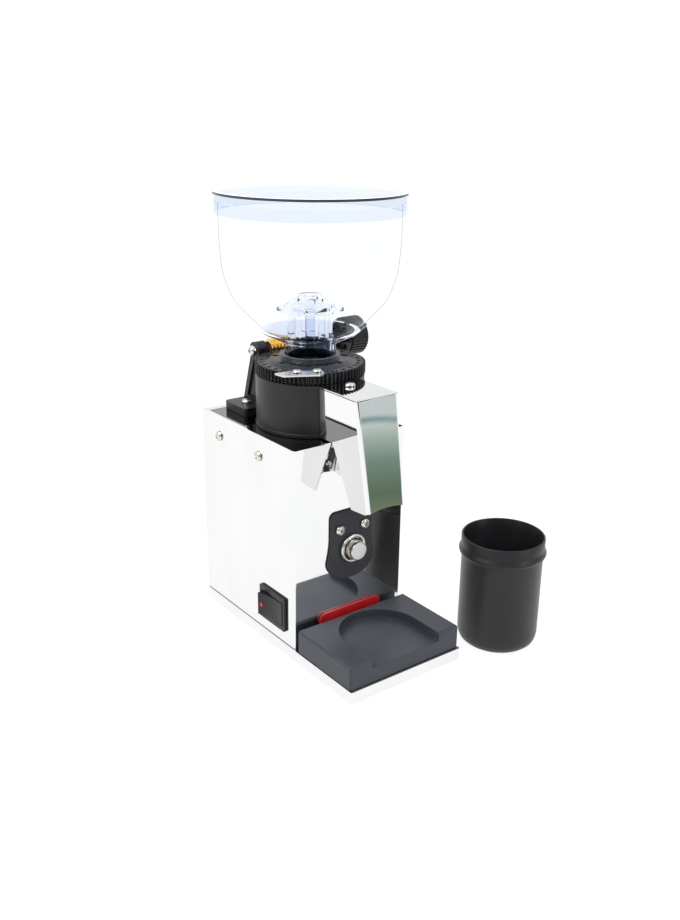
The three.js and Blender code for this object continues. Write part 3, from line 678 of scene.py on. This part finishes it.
def make_feet():
    """A rubber button with a hollow for its screw, copied to each corner."""
    nodes = ["foot_front_left", "foot_front_right", "foot_rear_left", "foot_rear_right"]
    low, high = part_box(nodes[0])
    tall = (high.z - low.z) / MM
    profile = [(0, 1.5), (2.6, 1.5), (2.6, 0), (6.2, 0), (7, 1), (7, tall), (0, tall)]
    middle = (low + high) / 2
    first = turned("rubber_foot_1", profile, Vector((middle.x, middle.y, low.z)), steps=40)
    soften(first, 0.25, 2)
    feet = [first]
    for count, node in enumerate(nodes[1:], 2):
        move = (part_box(node)[0] - low) / MM
        feet.append(copied(first, f"rubber_foot_{count}", move))
    for foot, node in zip(feet, nodes):
        hand_over(foot, "housing", "rubber", node)


def make_body_shell():
    """One sheet folded round the front and both sides, with openings for the controls."""
    shell = block("body_sheet", (-BODY_HALF, BODY_FRONT, BODY_BOTTOM), (BODY_HALF, BODY_REAR, BODY_TOP))
    front = at(0, BODY_FRONT, 0).y
    rear = at(0, BODY_REAR, 0).y
    pick(shell, "FACE", lambda centre, normal: abs(normal.z) > 0.9 or abs(centre.y - rear) < 1e-5)
    bpy.ops.mesh.delete(type="FACE")
    pick(shell, "EDGE", lambda middle, way: abs(way.z) > 0.9 and abs(middle.y - front) < 1e-5)
    bpy.ops.mesh.bevel(offset=1.6 * MM, segments=5, affect="EDGES")
    apply(shell, "SOLIDIFY", thickness=SHEET * MM, offset=-1)
    drill(shell, BUTTON_HOLE, 60, 75, at(0, 0, BUTTON_Z), "Y", 48)
    carve(shell, block("rocker_hole", (-55, 80.7, 20.7), (-45, 109.9, 42.9)))
    for side in (-1, 1):
        drill(shell, SCREW_HOLE, 60, 75, at(side * PLAQUE_SCREW_X, 0, PLAQUE_SCREW_Z), "Y", 20)
    for y in PANEL_SCREW_YS.values():
        drill(shell, SCREW_HOLE, -60, 60, at(0, y, PANEL_SCREW_Z), "X", 20)
    hand_over(flatten(soften(shell, 0.3, 3)), "housing", "steel", "body_shell")


def make_covers():
    deck = block("deck_plate", (-47.6, 69.9, 158.3), (47.6, 185.6, 159.8))
    hand_over(flatten(soften(deck, 0.25)), "housing", "deck", "top_plate")
    steps = [(192, 9), (192, 159.8), (185.9, 159.8), (185.9, 158.6), (190.8, 158.6), (190.8, 9)]
    cover = plate("rear_sheet", [at(-47.6, y, z) for y, z in steps], Vector((95.2 * MM, 0, 0)))
    for row in range(6):
        z = 96 + row * 7
        slot_cutter = block("vent", (-26, 185, z), (26, 195, z + 2.6))
        pick(slot_cutter, "EDGE", lambda middle, way: abs(way.y) > 0.9)
        bpy.ops.mesh.bevel(offset=1.25 * MM, segments=5, affect="EDGES")
        bpy.ops.object.mode_set(mode="OBJECT")
        carve(cover, slot_cutter)
    gland_place = at(26, 0, 26)
    drill(cover, 5.6, 188, 195, gland_place, "Y", 32)
    hand_over(flatten(soften(cover, 0.25)), "housing", "steel", "rear_cover")
    profile = [(3.7, 180), (5.2, 180), (5.2, 187.4), (8, 187.4), (8, 190.5), (5.3, 190.5), (5.3, 192.3),
               (5.3, 194.4), (4.7, 196), (3.7, 196), (3.7, 180)]
    gland = turned("rear_gland", profile, gland_place, "Y", 48)
    hand_over(soften(gland, 0.2, 2), "housing", "rubber", "cable_gland")


# ------------------------------------------------------------------ screws
def socket_screw(name, profile, centre, socket_radius, floor, mouth):
    """A turned screw along Z with a six-sided socket."""
    screw = turned(name, profile, centre, steps=48)
    hexagon = [(0, floor), (socket_radius, floor), (socket_radius, mouth), (0, mouth)]
    cutter = turned("socket", hexagon, centre, steps=6)
    carve(screw, cutter)
    return soften(screw, 0.22, 3)


def cross_screw(name, profile, centre, arm, width, floor, mouth):
    """A turned screw along Z with a cross-shaped recess."""
    screw = turned(name, profile, centre, steps=48)
    for long, wide in ((arm, width), (width, arm)):
        half = Vector((long / 2, wide / 2, 0)) * MM
        low = centre - half + ALONG["Z"] * floor * MM
        high = centre + half + ALONG["Z"] * mouth * MM
        deselect()
        bpy.ops.mesh.primitive_cube_add(size=1, location=(low + high) / 2, scale=high - low)
        cutter = settle(bpy.context.object)
        pick(cutter, "FACE", lambda face_centre, normal: normal.z < -0.9)
        bpy.ops.transform.resize(value=(0.7, 0.7, 1))
        bpy.ops.object.mode_set(mode="OBJECT")
        carve(screw, cutter)
    return soften(screw, 0.15, 2)


def make_shell_screws():
    """Button heads with a washer rim, pointing out of the left and right walls."""
    profile = [(0, -8), (2, -8), (2, 0.3), (3.8, 0.3), (3.8, 1.0), (3.3, 1.7), (2.4, 2.25), (0, 2.4)]
    for side_name, side in (("left", -1), ("right", 1)):
        for place_name, y in PANEL_SCREW_YS.items():
            name = f"{side_name}_{place_name}_button_screw"
            centre = at(side * BODY_HALF, y, PANEL_SCREW_Z)
            screw = socket_screw(name, profile, centre, 1.7, 0.9, 4)
            turn_about(screw, centre, "Y", 90 * side)
            hand_over(screw, "housing", "screw", f"shell_screw_{side_name}_{place_name}")


def make_cross_screws():
    head = [(0, -6), (1.9, -6), (1.9, 0.3), (3.9, 0.3), (3.9, 1.2), (3.5, 1.9), (2.7, 2.4), (1.4, 2.7),
            (0, 2.75)]
    places = {
        "chute_screw": (0, 72, 197.9),
        "bracket_screw_left": (-23.4, 168.7, 166.3),
        "bracket_screw_right": (23.4, 168.7, 166.3),
    }
    for node, place in places.items():
        screw = cross_screw(f"{node}_head", head, at(*place), 3.6, 0.9, 1.2, 4)
        hand_over(screw, "housing", "screw", node)
    small = [(0, 0.3), (3.1, 0.3), (3.1, 0.9), (2.7, 1.5), (1.8, 2.0), (0, 2.2)]
    for node, (x, y) in {"pointer_screw_1": (-31, -28.2), "pointer_screw_2": (-18.4, -34.2)}.items():
        screw = cross_screw(f"{node}_head", small, at(x, BURR_Y + y, 208.2), 3.2, 0.8, 0.8, 4)
        hand_over(screw, "collar", "screw", node)


# ------------------------------------------------------------------ chamber and chute
def make_chamber():
    profile = [(11, 160.1), (40, 160.1), (40, 162.3), (39.5, 162.5), (39.5, 198), (36, 198), (36, 166.1),
               (11, 166.1), (11, 160.1)]
    chamber = turned("chamber_wall", profile, at(0, BURR_Y, 0), steps=128)
    carve(chamber, block("outlet", (-13, 76, 168), (13, 89, 188)))
    hand_over(soften(chamber, 0.35), "housing", "chamber", "grinding_chamber")


def fold_path(half, front, rear, radius, z):
    """A U of points round a folded sheet at one height: left side, front and right side."""
    left = [(-half + radius + a, front + radius + b) for a, b in arc(radius, 180, 270, 6)]
    right = [(half - radius + a, front + radius + b) for a, b in arc(radius, 270, 360, 6)]
    return [at(x, y, z) for x, y in [(-half, rear), *left, *right, (half, rear)]]


def make_chute():
    """A folded steel spout: a leaning front and two sides, open behind and below."""
    lean = (41.5 - 27.9) / (CHUTE_TOP - CHUTE_MOUTH)
    widen = (18.1 - 16.4) / (CHUTE_TOP - CHUTE_MOUTH)
    paths = []
    for z in (112, CHUTE_TOP):
        front = 27.9 + (z - CHUTE_MOUTH) * lean
        half = 16.4 + (z - CHUTE_MOUTH) * widen
        paths.append(line(f"fold_{z}", fold_path(half, front, 88, 2.6, z)))
        bpy.ops.object.mode_set(mode="OBJECT")
        settle(paths[-1])
    chute = join("chute_sheet", *paths)
    edit(chute)
    bpy.ops.mesh.bridge_edge_loops()
    bpy.ops.mesh.select_all(action="SELECT")
    bpy.ops.mesh.normals_make_consistent(inside=False)
    bpy.ops.object.mode_set(mode="OBJECT")
    outward = [face for face in chute.data.polygons if face.normal.y < -0.9]
    if not outward:
        edit(chute)
        bpy.ops.mesh.flip_normals()
        bpy.ops.object.mode_set(mode="OBJECT")
    apply(chute, "SOLIDIFY", thickness=SHEET * MM, offset=-1)
    below = [(15, 105), (15, CHUTE_MOUTH), (27.9, CHUTE_MOUTH), (32.5, 119.2), (47.1, 118.2),
             (67.8, 161.1), (95, 161.1),
             (95, 105)]
    carve(chute, plate("below", [at(-30, y, z) for y, z in below], Vector((60 * MM, 0, 0))))
    drill(chute, 70, 10, 31, at(0, 0, 52.4), "Y", 160)
    drill(chute, CHAMBER_ROOM, 100, 220, at(0, BURR_Y, 0), steps=128)
    hand_over(flatten(soften(chute, 0.2, 2)), "housing", "steel", "chute")
    cap = block("chute_lid", (-18.1, 41.5, 196.9), (18.1, 90, 197.9))
    drill(cap, 39.8, 190, 210, at(0, BURR_Y, 0), steps=128)
    hand_over(flatten(soften(cap, 0.3, 3)), "housing", "steel", "chute_cap")


# ------------------------------------------------------------------ worm bracket
def make_bracket():
    """A slab with a leaning ribbed post and a bearing boss at each end of the worm."""
    foot, deck = 160.1, 166.3
    slab = block("worm_stand", (-34.3, 153.8, foot), (34.3, 183.6, deck))
    pick(slab, "EDGE", lambda middle, way: abs(way.z) > 0.9)
    bpy.ops.mesh.bevel(offset=3 * MM, segments=5, affect="EDGES")
    bpy.ops.object.mode_set(mode="OBJECT")
    sides = [(WORM_Y - 6.5, deck - 1), (183, deck - 1), (WORM_Y + 6, WORM_Z), (WORM_Y - 6, WORM_Z)]
    pane = [(WORM_Y - 3.6, deck + 3), (177.5, deck + 3), (WORM_Y + 3.6, WORM_Z - 8),
            (WORM_Y - 3.2, WORM_Z - 8)]
    bearing = at(0, WORM_Y, WORM_Z)
    for side in (-1, 1):
        near = -17.5 if side < 0 else 11
        outer = near if side < 0 else near + 6.5
        post = plate("post", [at(near, y, z) for y, z in sides], Vector((6.5 * MM, 0, 0)))
        carve(post, plate("pane", [at(outer - 1.6, y, z) for y, z in pane], Vector((3.2 * MM, 0, 0))))
        carve(slab, post, "UNION")
        ends = (-19, -10.6) if side < 0 else (10.6, 19)
        carve(slab, rod("boss", 6.4, *ends, bearing, "X", 48), "UNION")
    drill(slab, 3.05, -40, 40, bearing, "X", 32)
    drill(slab, CHAMBER_ROOM, 150, 230, at(0, BURR_Y, 0))
    for x in (-23.4, 23.4):
        drill(slab, 2.2, 150, 180, at(x, 168.7, 0), steps=20)
    hand_over(flatten(soften(slab, 0.5, 3)), "housing", "black", "worm_bracket")


# ------------------------------------------------------------------ collar
def make_collar():
    """A toothed wheel: one tooth drawn, repeated round the wheel, filled and pushed up."""
    teeth, root, tip = 78, 37.75, 40.0
    pitch = 360 / teeth
    shares = [(root, -0.5), (root, -0.27), (tip - 0.3, -0.15), (tip, -0.10), (tip, 0.10), (tip - 0.3, 0.15),
              (root, 0.27), (root, 0.5)]
    tooth = []
    for radius, share in shares:
        angle = math.radians(90 + share * pitch)
        tooth.append(at(radius * math.cos(angle), BURR_Y + radius * math.sin(angle), 198.6))
    collar = line("toothed_collar", tooth)
    axis = at(0, BURR_Y, 198.6)
    bpy.ops.mesh.spin(steps=teeth, angle=math.tau, dupli=True, center=axis, axis=(0, 0, 1),
                      use_auto_merge=False)
    bpy.ops.mesh.select_all(action="SELECT")
    bpy.ops.mesh.remove_doubles(threshold=0.00002)
    bpy.ops.mesh.edge_face_add()
    bpy.ops.mesh.extrude_region_move(TRANSFORM_OT_translate={"value": Vector((0, 0, 8 * MM))})
    close_up()
    settle(collar)
    soften(collar, 0.22, 1, 60)
    core = [(16.2, 188.9), (35.2, 188.9), (35.2, 206.3), (31.2, 206.9), (28.6, 208.4), (21.5, 208.6),
            (21.5, 212), (18.75, 212), (18.75, 204), (16.2, 204), (16.2, 188.9)]
    drill(collar, 30, 150, 250, at(0, BURR_Y, 0))
    carve(collar, turned("web", core, at(0, BURR_Y, 0), steps=96), "UNION")
    small = rod("pin_hole", 1.9, 196, 215, at(35.0, BURR_Y, 0), steps=20)
    carve(collar, ringed(small, 30, axis, "Z"))
    large = rod("key_hole", 2.9, 194, 215, at(25.4, BURR_Y, 0), steps=28)
    turn_about(large, at(0, BURR_Y, 0), "Z", 340)
    carve(collar, ringed(large, 7, axis, "Z"))
    hand_over(soften(collar, 0.18, 2, 40), "collar", "collar", "adjusting_collar")


def make_pointer():
    corners = [(-44.9, -21.6), (-44.6, -22.6), (-43.5, -30.5), (-34.6, -34.6), (-21.5, -41.6),
               (-18.0, -41.2), (-15.4, -38.8), (-13.9, -35.2), (-14.0, -32.4), (-15.3, -30.6),
               (-17.6, -29.8), (-24.6, -27.2), (-29.5, -23.4), (-32.2, -22.2), (-34.4, -22), (-43.9, -21.1)]
    outline = [at(x, BURR_Y + y, 206.9) for x, y in corners]
    strip = plate("index_pointer", outline, Vector((0, 0, 1.3 * MM)))
    hand_over(soften(strip, 0.3, 3), "collar", "screw", "pointer_plate")


# ------------------------------------------------------------------ worm
def make_worm():
    """A brass thread drawn for one turn and wound along, on a turned shaft."""
    lead = math.pi
    crest, root = 7.2, 5.0
    section = [(root, 0), (root, 0.25 * lead), (crest - 0.3, 0.42 * lead), (crest, 0.46 * lead),
               (crest, 0.54 * lead), (crest - 0.3, 0.58 * lead), (root, 0.75 * lead), (root, lead)]
    turns = 7
    start = -lead * turns / 2 + 1.2
    centre = at(0, WORM_Y, WORM_Z)
    points = [centre + Vector((start + along, 0, radius)) * MM for radius, along in section]
    thread = line("brass_worm", points)
    bpy.ops.object.mode_set(mode="OBJECT")
    settle(thread)
    thread.location = -centre
    settle(thread)
    apply(thread, "SCREW", axis="X", screw_offset=lead * MM, iterations=turns, steps=40, render_steps=40,
          use_merge_vertices=True, merge_threshold=0.000005, angle=math.tau)
    thread.location = centre
    settle(thread)
    for cut_at, clear_outer in ((-8.5, False), (10.0, True)):
        edit(thread)
        bpy.ops.mesh.bisect(plane_co=at(cut_at, WORM_Y, WORM_Z), plane_no=(1, 0, 0), use_fill=True,
                            clear_inner=not clear_outer, clear_outer=clear_outer)
        close_up()
    shaft = rod("worm_shaft", 2.7, -19, 66, centre, "X", 32)
    worm = join("brass_worm", thread, shaft)
    hand_over(smooth(worm, 32), "worm", "brass", "worm_screw")


def make_knob():
    """A wide wheel with a ribbed rim, round holes through its web, and a long hub."""
    centre = at(0, WORM_Y, WORM_Z)
    profile = [(3, 24.5), (5, 24.5), (5, 66.5), (11.4, 66.5), (11.8, 62.5), (13.6, 62.5), (14.3, 63.2),
               (14.3, 78.3), (13.6, 79), (11.8, 79), (11.4, 72.5), (5.2, 72.5), (4.6, 73.6), (0, 73.6),
               (0, 66.4), (3, 66.4), (3, 24.5)]
    knob = turned("ribbed_knob", profile, centre, "X", 72)
    rib = block("rib", (63.4, WORM_Y - 0.6, WORM_Z + 13.6), (78.1, WORM_Y + 0.6, WORM_Z + 15.0))
    carve(knob, ringed(rib, 36, centre, "X"), "UNION")
    hole = rod("hole", 1.9, 60, 80, at(0, WORM_Y, WORM_Z + 8.4), "X", 20)
    carve(knob, ringed(hole, 6, centre, "X"))
    hand_over(soften(knob, 0.25, 2, 40), "worm", "black", "worm_knob")
    screw_centre = at(-19.3, WORM_Y, WORM_Z)
    head = [(0, 0), (4, 0), (4, 1.4), (3.6, 2.6), (2.8, 3.5), (1.5, 4.1), (0, 4.2)]
    screw = cross_screw("worm_end_head", head, screw_centre, 3.6, 0.9, 2.6, 7)
    turn_about(screw, screw_centre, "Y", -90)
    hand_over(screw, "worm", "screw", "worm_end_screw")


# ------------------------------------------------------------------ hopper
def smooth_line(points, steps=6):
    """A smooth curve through the points."""
    padded = [points[0], *points, points[-1]]
    drawn = []
    for p0, p1, p2, p3 in zip(padded, padded[1:], padded[2:], padded[3:]):
        for i in range(steps):
            t = i / steps
            drawn.append(tuple(0.5 * (2 * b + (c - a) * t + (2 * a - 5 * b + 4 * c - d) * t * t
                                      + (3 * b - a - 3 * c + d) * t ** 3)
                               for a, b, c, d in zip(p0, p1, p2, p3)))
    return drawn + [points[-1]]


def make_hopper():
    """A blown bowl with a straight neck, an even wall and a rolled lip."""
    outside = [(34, 227.5), (47.5, 240.3), (56.5, 252.1), (62.4, 267.3), (64.3, 280), (65, 295),
               (65.2, 310.2), (64.9, 318)]
    inside = [(r - 2.2, z + (1.6 if z < 245 else 0.5)) for r, z in outside[:-1]] + [(62.7, 318)]
    profile = [(18.45, 204.5), (18.45, 219.2), (19.0, 220.3), *smooth_line(outside),
               *reversed(smooth_line(inside)),
               (16.9, 221.8), (16.45, 220.6), (16.45, 204.5), (18.45, 204.5)]
    bowl = turned("clear_bowl", profile, at(0, BURR_Y, 0), steps=128)
    hand_over(soften(bowl, 0.35, 3, 50), "hopper", "clear", "hopper_bowl")
    second_finish(bowl, "thick", lambda centre, normal: centre.z < at(0, 0, 229).z)


def make_lid():
    """A shallow cap with a skirt round the bowl's lip and a dark line along its top edge: painted shade that
    stands in for the dark look refraction gives the clear rim.
    """
    bore = 65.5
    profile = [(0, 323.4), (bore, 323.4), (bore, 310.6), (66.6, 310.6), (66.6, 322.9), (66.2, 323.2),
               (66.2, 324.6), (0, 324.6), (0, 323.4)]
    lid = turned("clear_lid", profile, at(0, BURR_Y, 0), steps=128)
    hand_over(smooth(lid, 40), "lid", "lid", "hopper_lid")
    second_finish(lid, "clear", lambda centre, normal: abs(normal.z) > 0.9)
    # The band is a dark ring of painted shade, standing in for the dark look refraction gives the lid's
    # clear rim.
    band = [(66.25, 323.3), (66.6, 323.3), (66.6, 325.0), (66.5, 325.1), (65.8, 325.1), (65.8, 324.65),
            (66.25, 324.65), (66.25, 323.3)]
    edge = turned("lid_painted_shade_line", band, at(0, BURR_Y, 0), steps=128)
    hand_over(smooth(edge, 40), "lid", "edge")
    middle = at(0, BURR_Y, 0)
    # The inner faces of the band get the painted glow, so their shade doesn't show.
    second_finish(edge, "lining",
                  lambda centre, normal: (centre.xy - middle.xy).normalized().dot(normal.xy) < 0.9)


def make_guard():
    """A bridge over the bean inlet: a tube with four windows under a hat and a boss."""
    profile = [(14.4, 205), (16.1, 205), (16.1, 222), (17, 224), (17, 243.4), (23.9, 243.4), (23.9, 244.9),
               (9, 251.5), (8.7, 254), (5.4, 254), (5.4, 250), (4, 250), (4, 241.5), (8.7, 241.5),
               (8.7, 248.6), (14.9, 245.6), (14.9, 224), (14.4, 222), (14.4, 205)]
    guard = turned("bean_guard", profile, at(0, BURR_Y, 0), steps=96)
    for count in range(4):
        window = block("window", (10, BURR_Y - 8.5, 224), (22, BURR_Y + 8.5, 241))
        pick(window, "EDGE", lambda middle, way: abs(way.x) > 0.9)
        bpy.ops.mesh.bevel(offset=1.5 * MM, segments=3, affect="EDGES")
        bpy.ops.object.mode_set(mode="OBJECT")
        turn_about(window, at(0, BURR_Y, 0), "Z", 45 + 90 * count)
        carve(guard, window)
    hand_over(soften(guard, 0.3, 2, 40), "hopper", "guard", "finger_guard")
    post = [(0, 207), (6.4, 207), (6, 209), (4.6, 212.5), (3.7, 217), (3.4, 222), (3.4, 239), (3, 241),
            (0, 241)]
    bolt = turned("guard_post", post, at(0, BURR_Y, 0), steps=48)
    hand_over(soften(bolt, 0.3, 2, 40), "hopper", "thick", "guard_bolt")


# ------------------------------------------------------------------ controls
def plaque_outline():
    """A plate that swells towards its foot, from its top left corner round anticlockwise."""
    half, corner, top = 18.6, 5, 108
    left = [(-half + corner + a, top - corner + b) for a, b in arc(corner, 90, 180, 6)]
    left.append((-half, 86))
    left += curve((-half, 86), (-half - 0.4, 79), (-21.4, 69.5), 6)
    left += curve((-21.4, 69.5), (-22, 64), (-15.6, 58.4), 6)
    left += curve((-15.6, 58.4), (-9, 53.8), (0, 53.8), 6)
    right = [(-x, z) for x, z in reversed(left[:-1])]
    return left + right


def make_plaque():
    outline = [at(x, 66.7, z) for x, z in plaque_outline()]
    sheet = plate("button_plate", outline, Vector((0, 1.4 * MM, 0)))
    drill(sheet, BUTTON_HOLE, 60, 75, at(0, 0, BUTTON_Z), "Y", 48)
    for side in (-1, 1):
        drill(sheet, SCREW_HOLE, 60, 75, at(side * PLAQUE_SCREW_X, 0, PLAQUE_SCREW_Z), "Y", 24)
    hand_over(soften(sheet, 0.3, 2, 40), "housing", "plate", "button_plaque")
    profile = [(0, -9.6), (2, -9.6), (2, 0), (3.7, 0), (3.7, 1.2), (3.3, 1.9), (2.6, 2.4), (0, 2.6)]
    for side_name, side in (("left", -1), ("right", 1)):
        centre = at(side * PLAQUE_SCREW_X, 66.4, PLAQUE_SCREW_Z)
        screw = socket_screw(f"plaque_{side_name}_screw", profile, centre, 1.55, 0.8, 4)
        turn_about(screw, centre, "X", 90)
        hand_over(screw, "housing", "screw", f"plaque_screw_{side_name}")


def make_start_button():
    centre = at(0, 0, BUTTON_Z)
    ring = [(7.4, 70), (7.4, 64.6), (8.4, 63.9), (9.4, 63.4), (10.2, 63.4), (10.8, 63.9), (11, 64.6),
            (11, 66.4), (9.4, 66.4), (9.4, 81.6), (3.6, 81.6), (3.6, 79.6), (7.4, 79.6), (7.4, 70)]
    bezel = turned("button_ring", ring, centre, "Y", 72)
    hand_over(flatten(soften(bezel, 0.25, 2, 25)), "housing", "screw", "button_bezel")
    cap = [(0, 57.3), (6.2, 57.3), (6.7, 57.5), (7, 58.1), (7, 67.5), (2.6, 67.5), (2.6, 79.3), (0, 79.3)]
    button = turned("button_cap", cap, centre, "Y", 64)
    hand_over(flatten(soften(button, 0.2, 2, 40)), "button", "button", "start_button")


def make_rocker():
    """A black frame with a pocket, and a paddle whose face dips in the middle."""
    y0, y1, z0, z1 = 79, 111.6, 18.5, 45.1
    flange = block("rocker_frame", (-51.1, y0, z0), (-49.4, y1, z1))
    pick(flange, "EDGE", lambda middle, way: abs(way.x) > 0.9)
    bpy.ops.mesh.bevel(offset=1.0 * MM, segments=3, affect="EDGES")
    bpy.ops.object.mode_set(mode="OBJECT")
    carve(flange, block("can", (-50.5, 81, 21), (-24, 109.6, 42.6)), "UNION")
    carve(flange, block("pocket", (-53, 81.25, 22.5), (-42.5, 109.35, 41.1)))
    hand_over(soften(flange, 0.3, 3, 40), "housing", "black", "rocker_housing")
    rise = 13 * math.tan(math.radians(9))
    face = curve((13, 3.9 + rise), (0, 2.6 + rise * 0.1), (-13, 3.9 + rise), 12)
    shape = [(-13, 0), (-9, -2.2), (9, -2.2), (13, 0), (13, 3.9 + rise), *face]
    centre = at(-47.7, 95.3, 31.8)
    outline = [centre + Vector((-out, along, -8.9)) * MM for along, out in shape]
    paddle = plate("rocker_key", outline, Vector((0, 0, 17.8 * MM)))
    turn_about(paddle, centre, "Z", 9)
    hand_over(soften(paddle, 0.4, 3, 40), "rocker", "black", "rocker_paddle")
    dot = turned("rocker_mark", [(0, -5.0), (1.2, -5.0), (1.5, -4.6), (1.5, 0), (0, 0)], centre, "X", 28)
    only(dot)
    dot.location = Vector((-0.95, 9.4, 0)) * MM
    settle(dot)
    turn_about(dot, centre, "Z", 9)
    hand_over(dot, "rocker", "red")


def make_badge():
    ends = [(23 + a, 26 + b) for a, b in arc(5, -90, 90, 12)]
    outline = ends + [(-x, z) for x, z in reversed(ends)]
    badge = plate("enamel_badge", [at(x, 66.5, z) for x, z in outline], Vector((0, 1.6 * MM, 0)))
    hand_over(soften(badge, 0.7, 3, 40), "housing", "red", "badge_plate")


# ------------------------------------------------------------------ tray and cup
def make_tray():
    """A thick rest with chamfered edges and a round-ended recess open at the front."""
    tray = block("rest_tray", (-49.5, 2, 9), (49.5, 64.3, 26.6))
    top = at(0, 0, 26.6).z
    pick(tray, "EDGE", lambda middle, way: abs(way.z) > 0.9 or abs(middle.z - top) < 1e-5)
    bpy.ops.mesh.bevel(offset=1.3 * MM, segments=1, affect="EDGES")
    bpy.ops.object.mode_set(mode="OBJECT")
    round_end = [(a, 30 + b) for a, b in arc(30.5, 0, 180, 72)]
    outline = [(30.5, -1), *round_end, (-30.5, -1)]
    carve(tray, plate("recess", [at(x, y, 20.1) for x, y in outline], Vector((0, 0, 10 * MM))))
    hand_over(flatten(soften(tray, 0.35, 3, 30)), "tray", "tray", "drip_tray")


def make_cup():
    floor = -2.5
    wall_foot = [(22.5, floor), (25.6, floor + 0.7), (28.2, floor + 3.0), (29.5, floor + 6.0),
                 (30, floor + 10)]
    profile = [(0, floor + 0.6), (20.5, floor + 0.6), (21.3, floor), *wall_foot, (30, 68.0), (30.6, 69.0),
               (31.7, 69.9), (32.2, 71.2), (32.2, 72.4), (31.6, 73.7), (30.9, 74.9), (30.7, 76.2),
               (30.8, 82.7), (30.4, 83.3), (29.5, 83.4), (29.2, 82.8), (29.1, 76), (27.9, 71),
               (27.8, floor + 9), (27, floor + 5.5),
               (25, floor + 3.4), (23, floor + 2.2), (0, floor + 2)]
    cup = turned("cup_shell", profile, at(CUP_X, CUP_Y, 0), steps=128)
    hand_over(smooth(cup, 50), "cup", "cup", "dosing_cup")


# ------------------------------------------------------------------ CAD nodes that stay
def finish_inner_nodes():
    """The parts inside the body keep their shape and get their finishes."""
    inner = {
        "motor": ["motor_upper_bell", "motor_stator", "motor_lower_bell"],
        "burr": ["upper_bearing", "lower_bearing", "motor_shaft", "burr_carrier", "lower_burr",
                 "upper_burr"],
        "screw": ["carrier_nut", "button_spring"],
        "black": ["run_capacitor", "microswitch", "cooling_fan"],
        "terminal": ["terminal_block"],
        "copper": ["rotor_core"],
    }
    for finish, nodes in inner.items():
        for node in nodes:
            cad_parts[node].material_slots[0].material = FINISHES[finish][0]


make_base_pan()
make_feet()
make_body_shell()
make_covers()
make_shell_screws()
make_cross_screws()
make_chamber()
make_chute()
make_bracket()
make_collar()
make_pointer()
make_worm()
make_knob()
make_hopper()
make_lid()
make_guard()
make_plaque()
make_start_button()
make_rocker()
make_badge()
make_tray()
make_cup()
finish_inner_nodes()
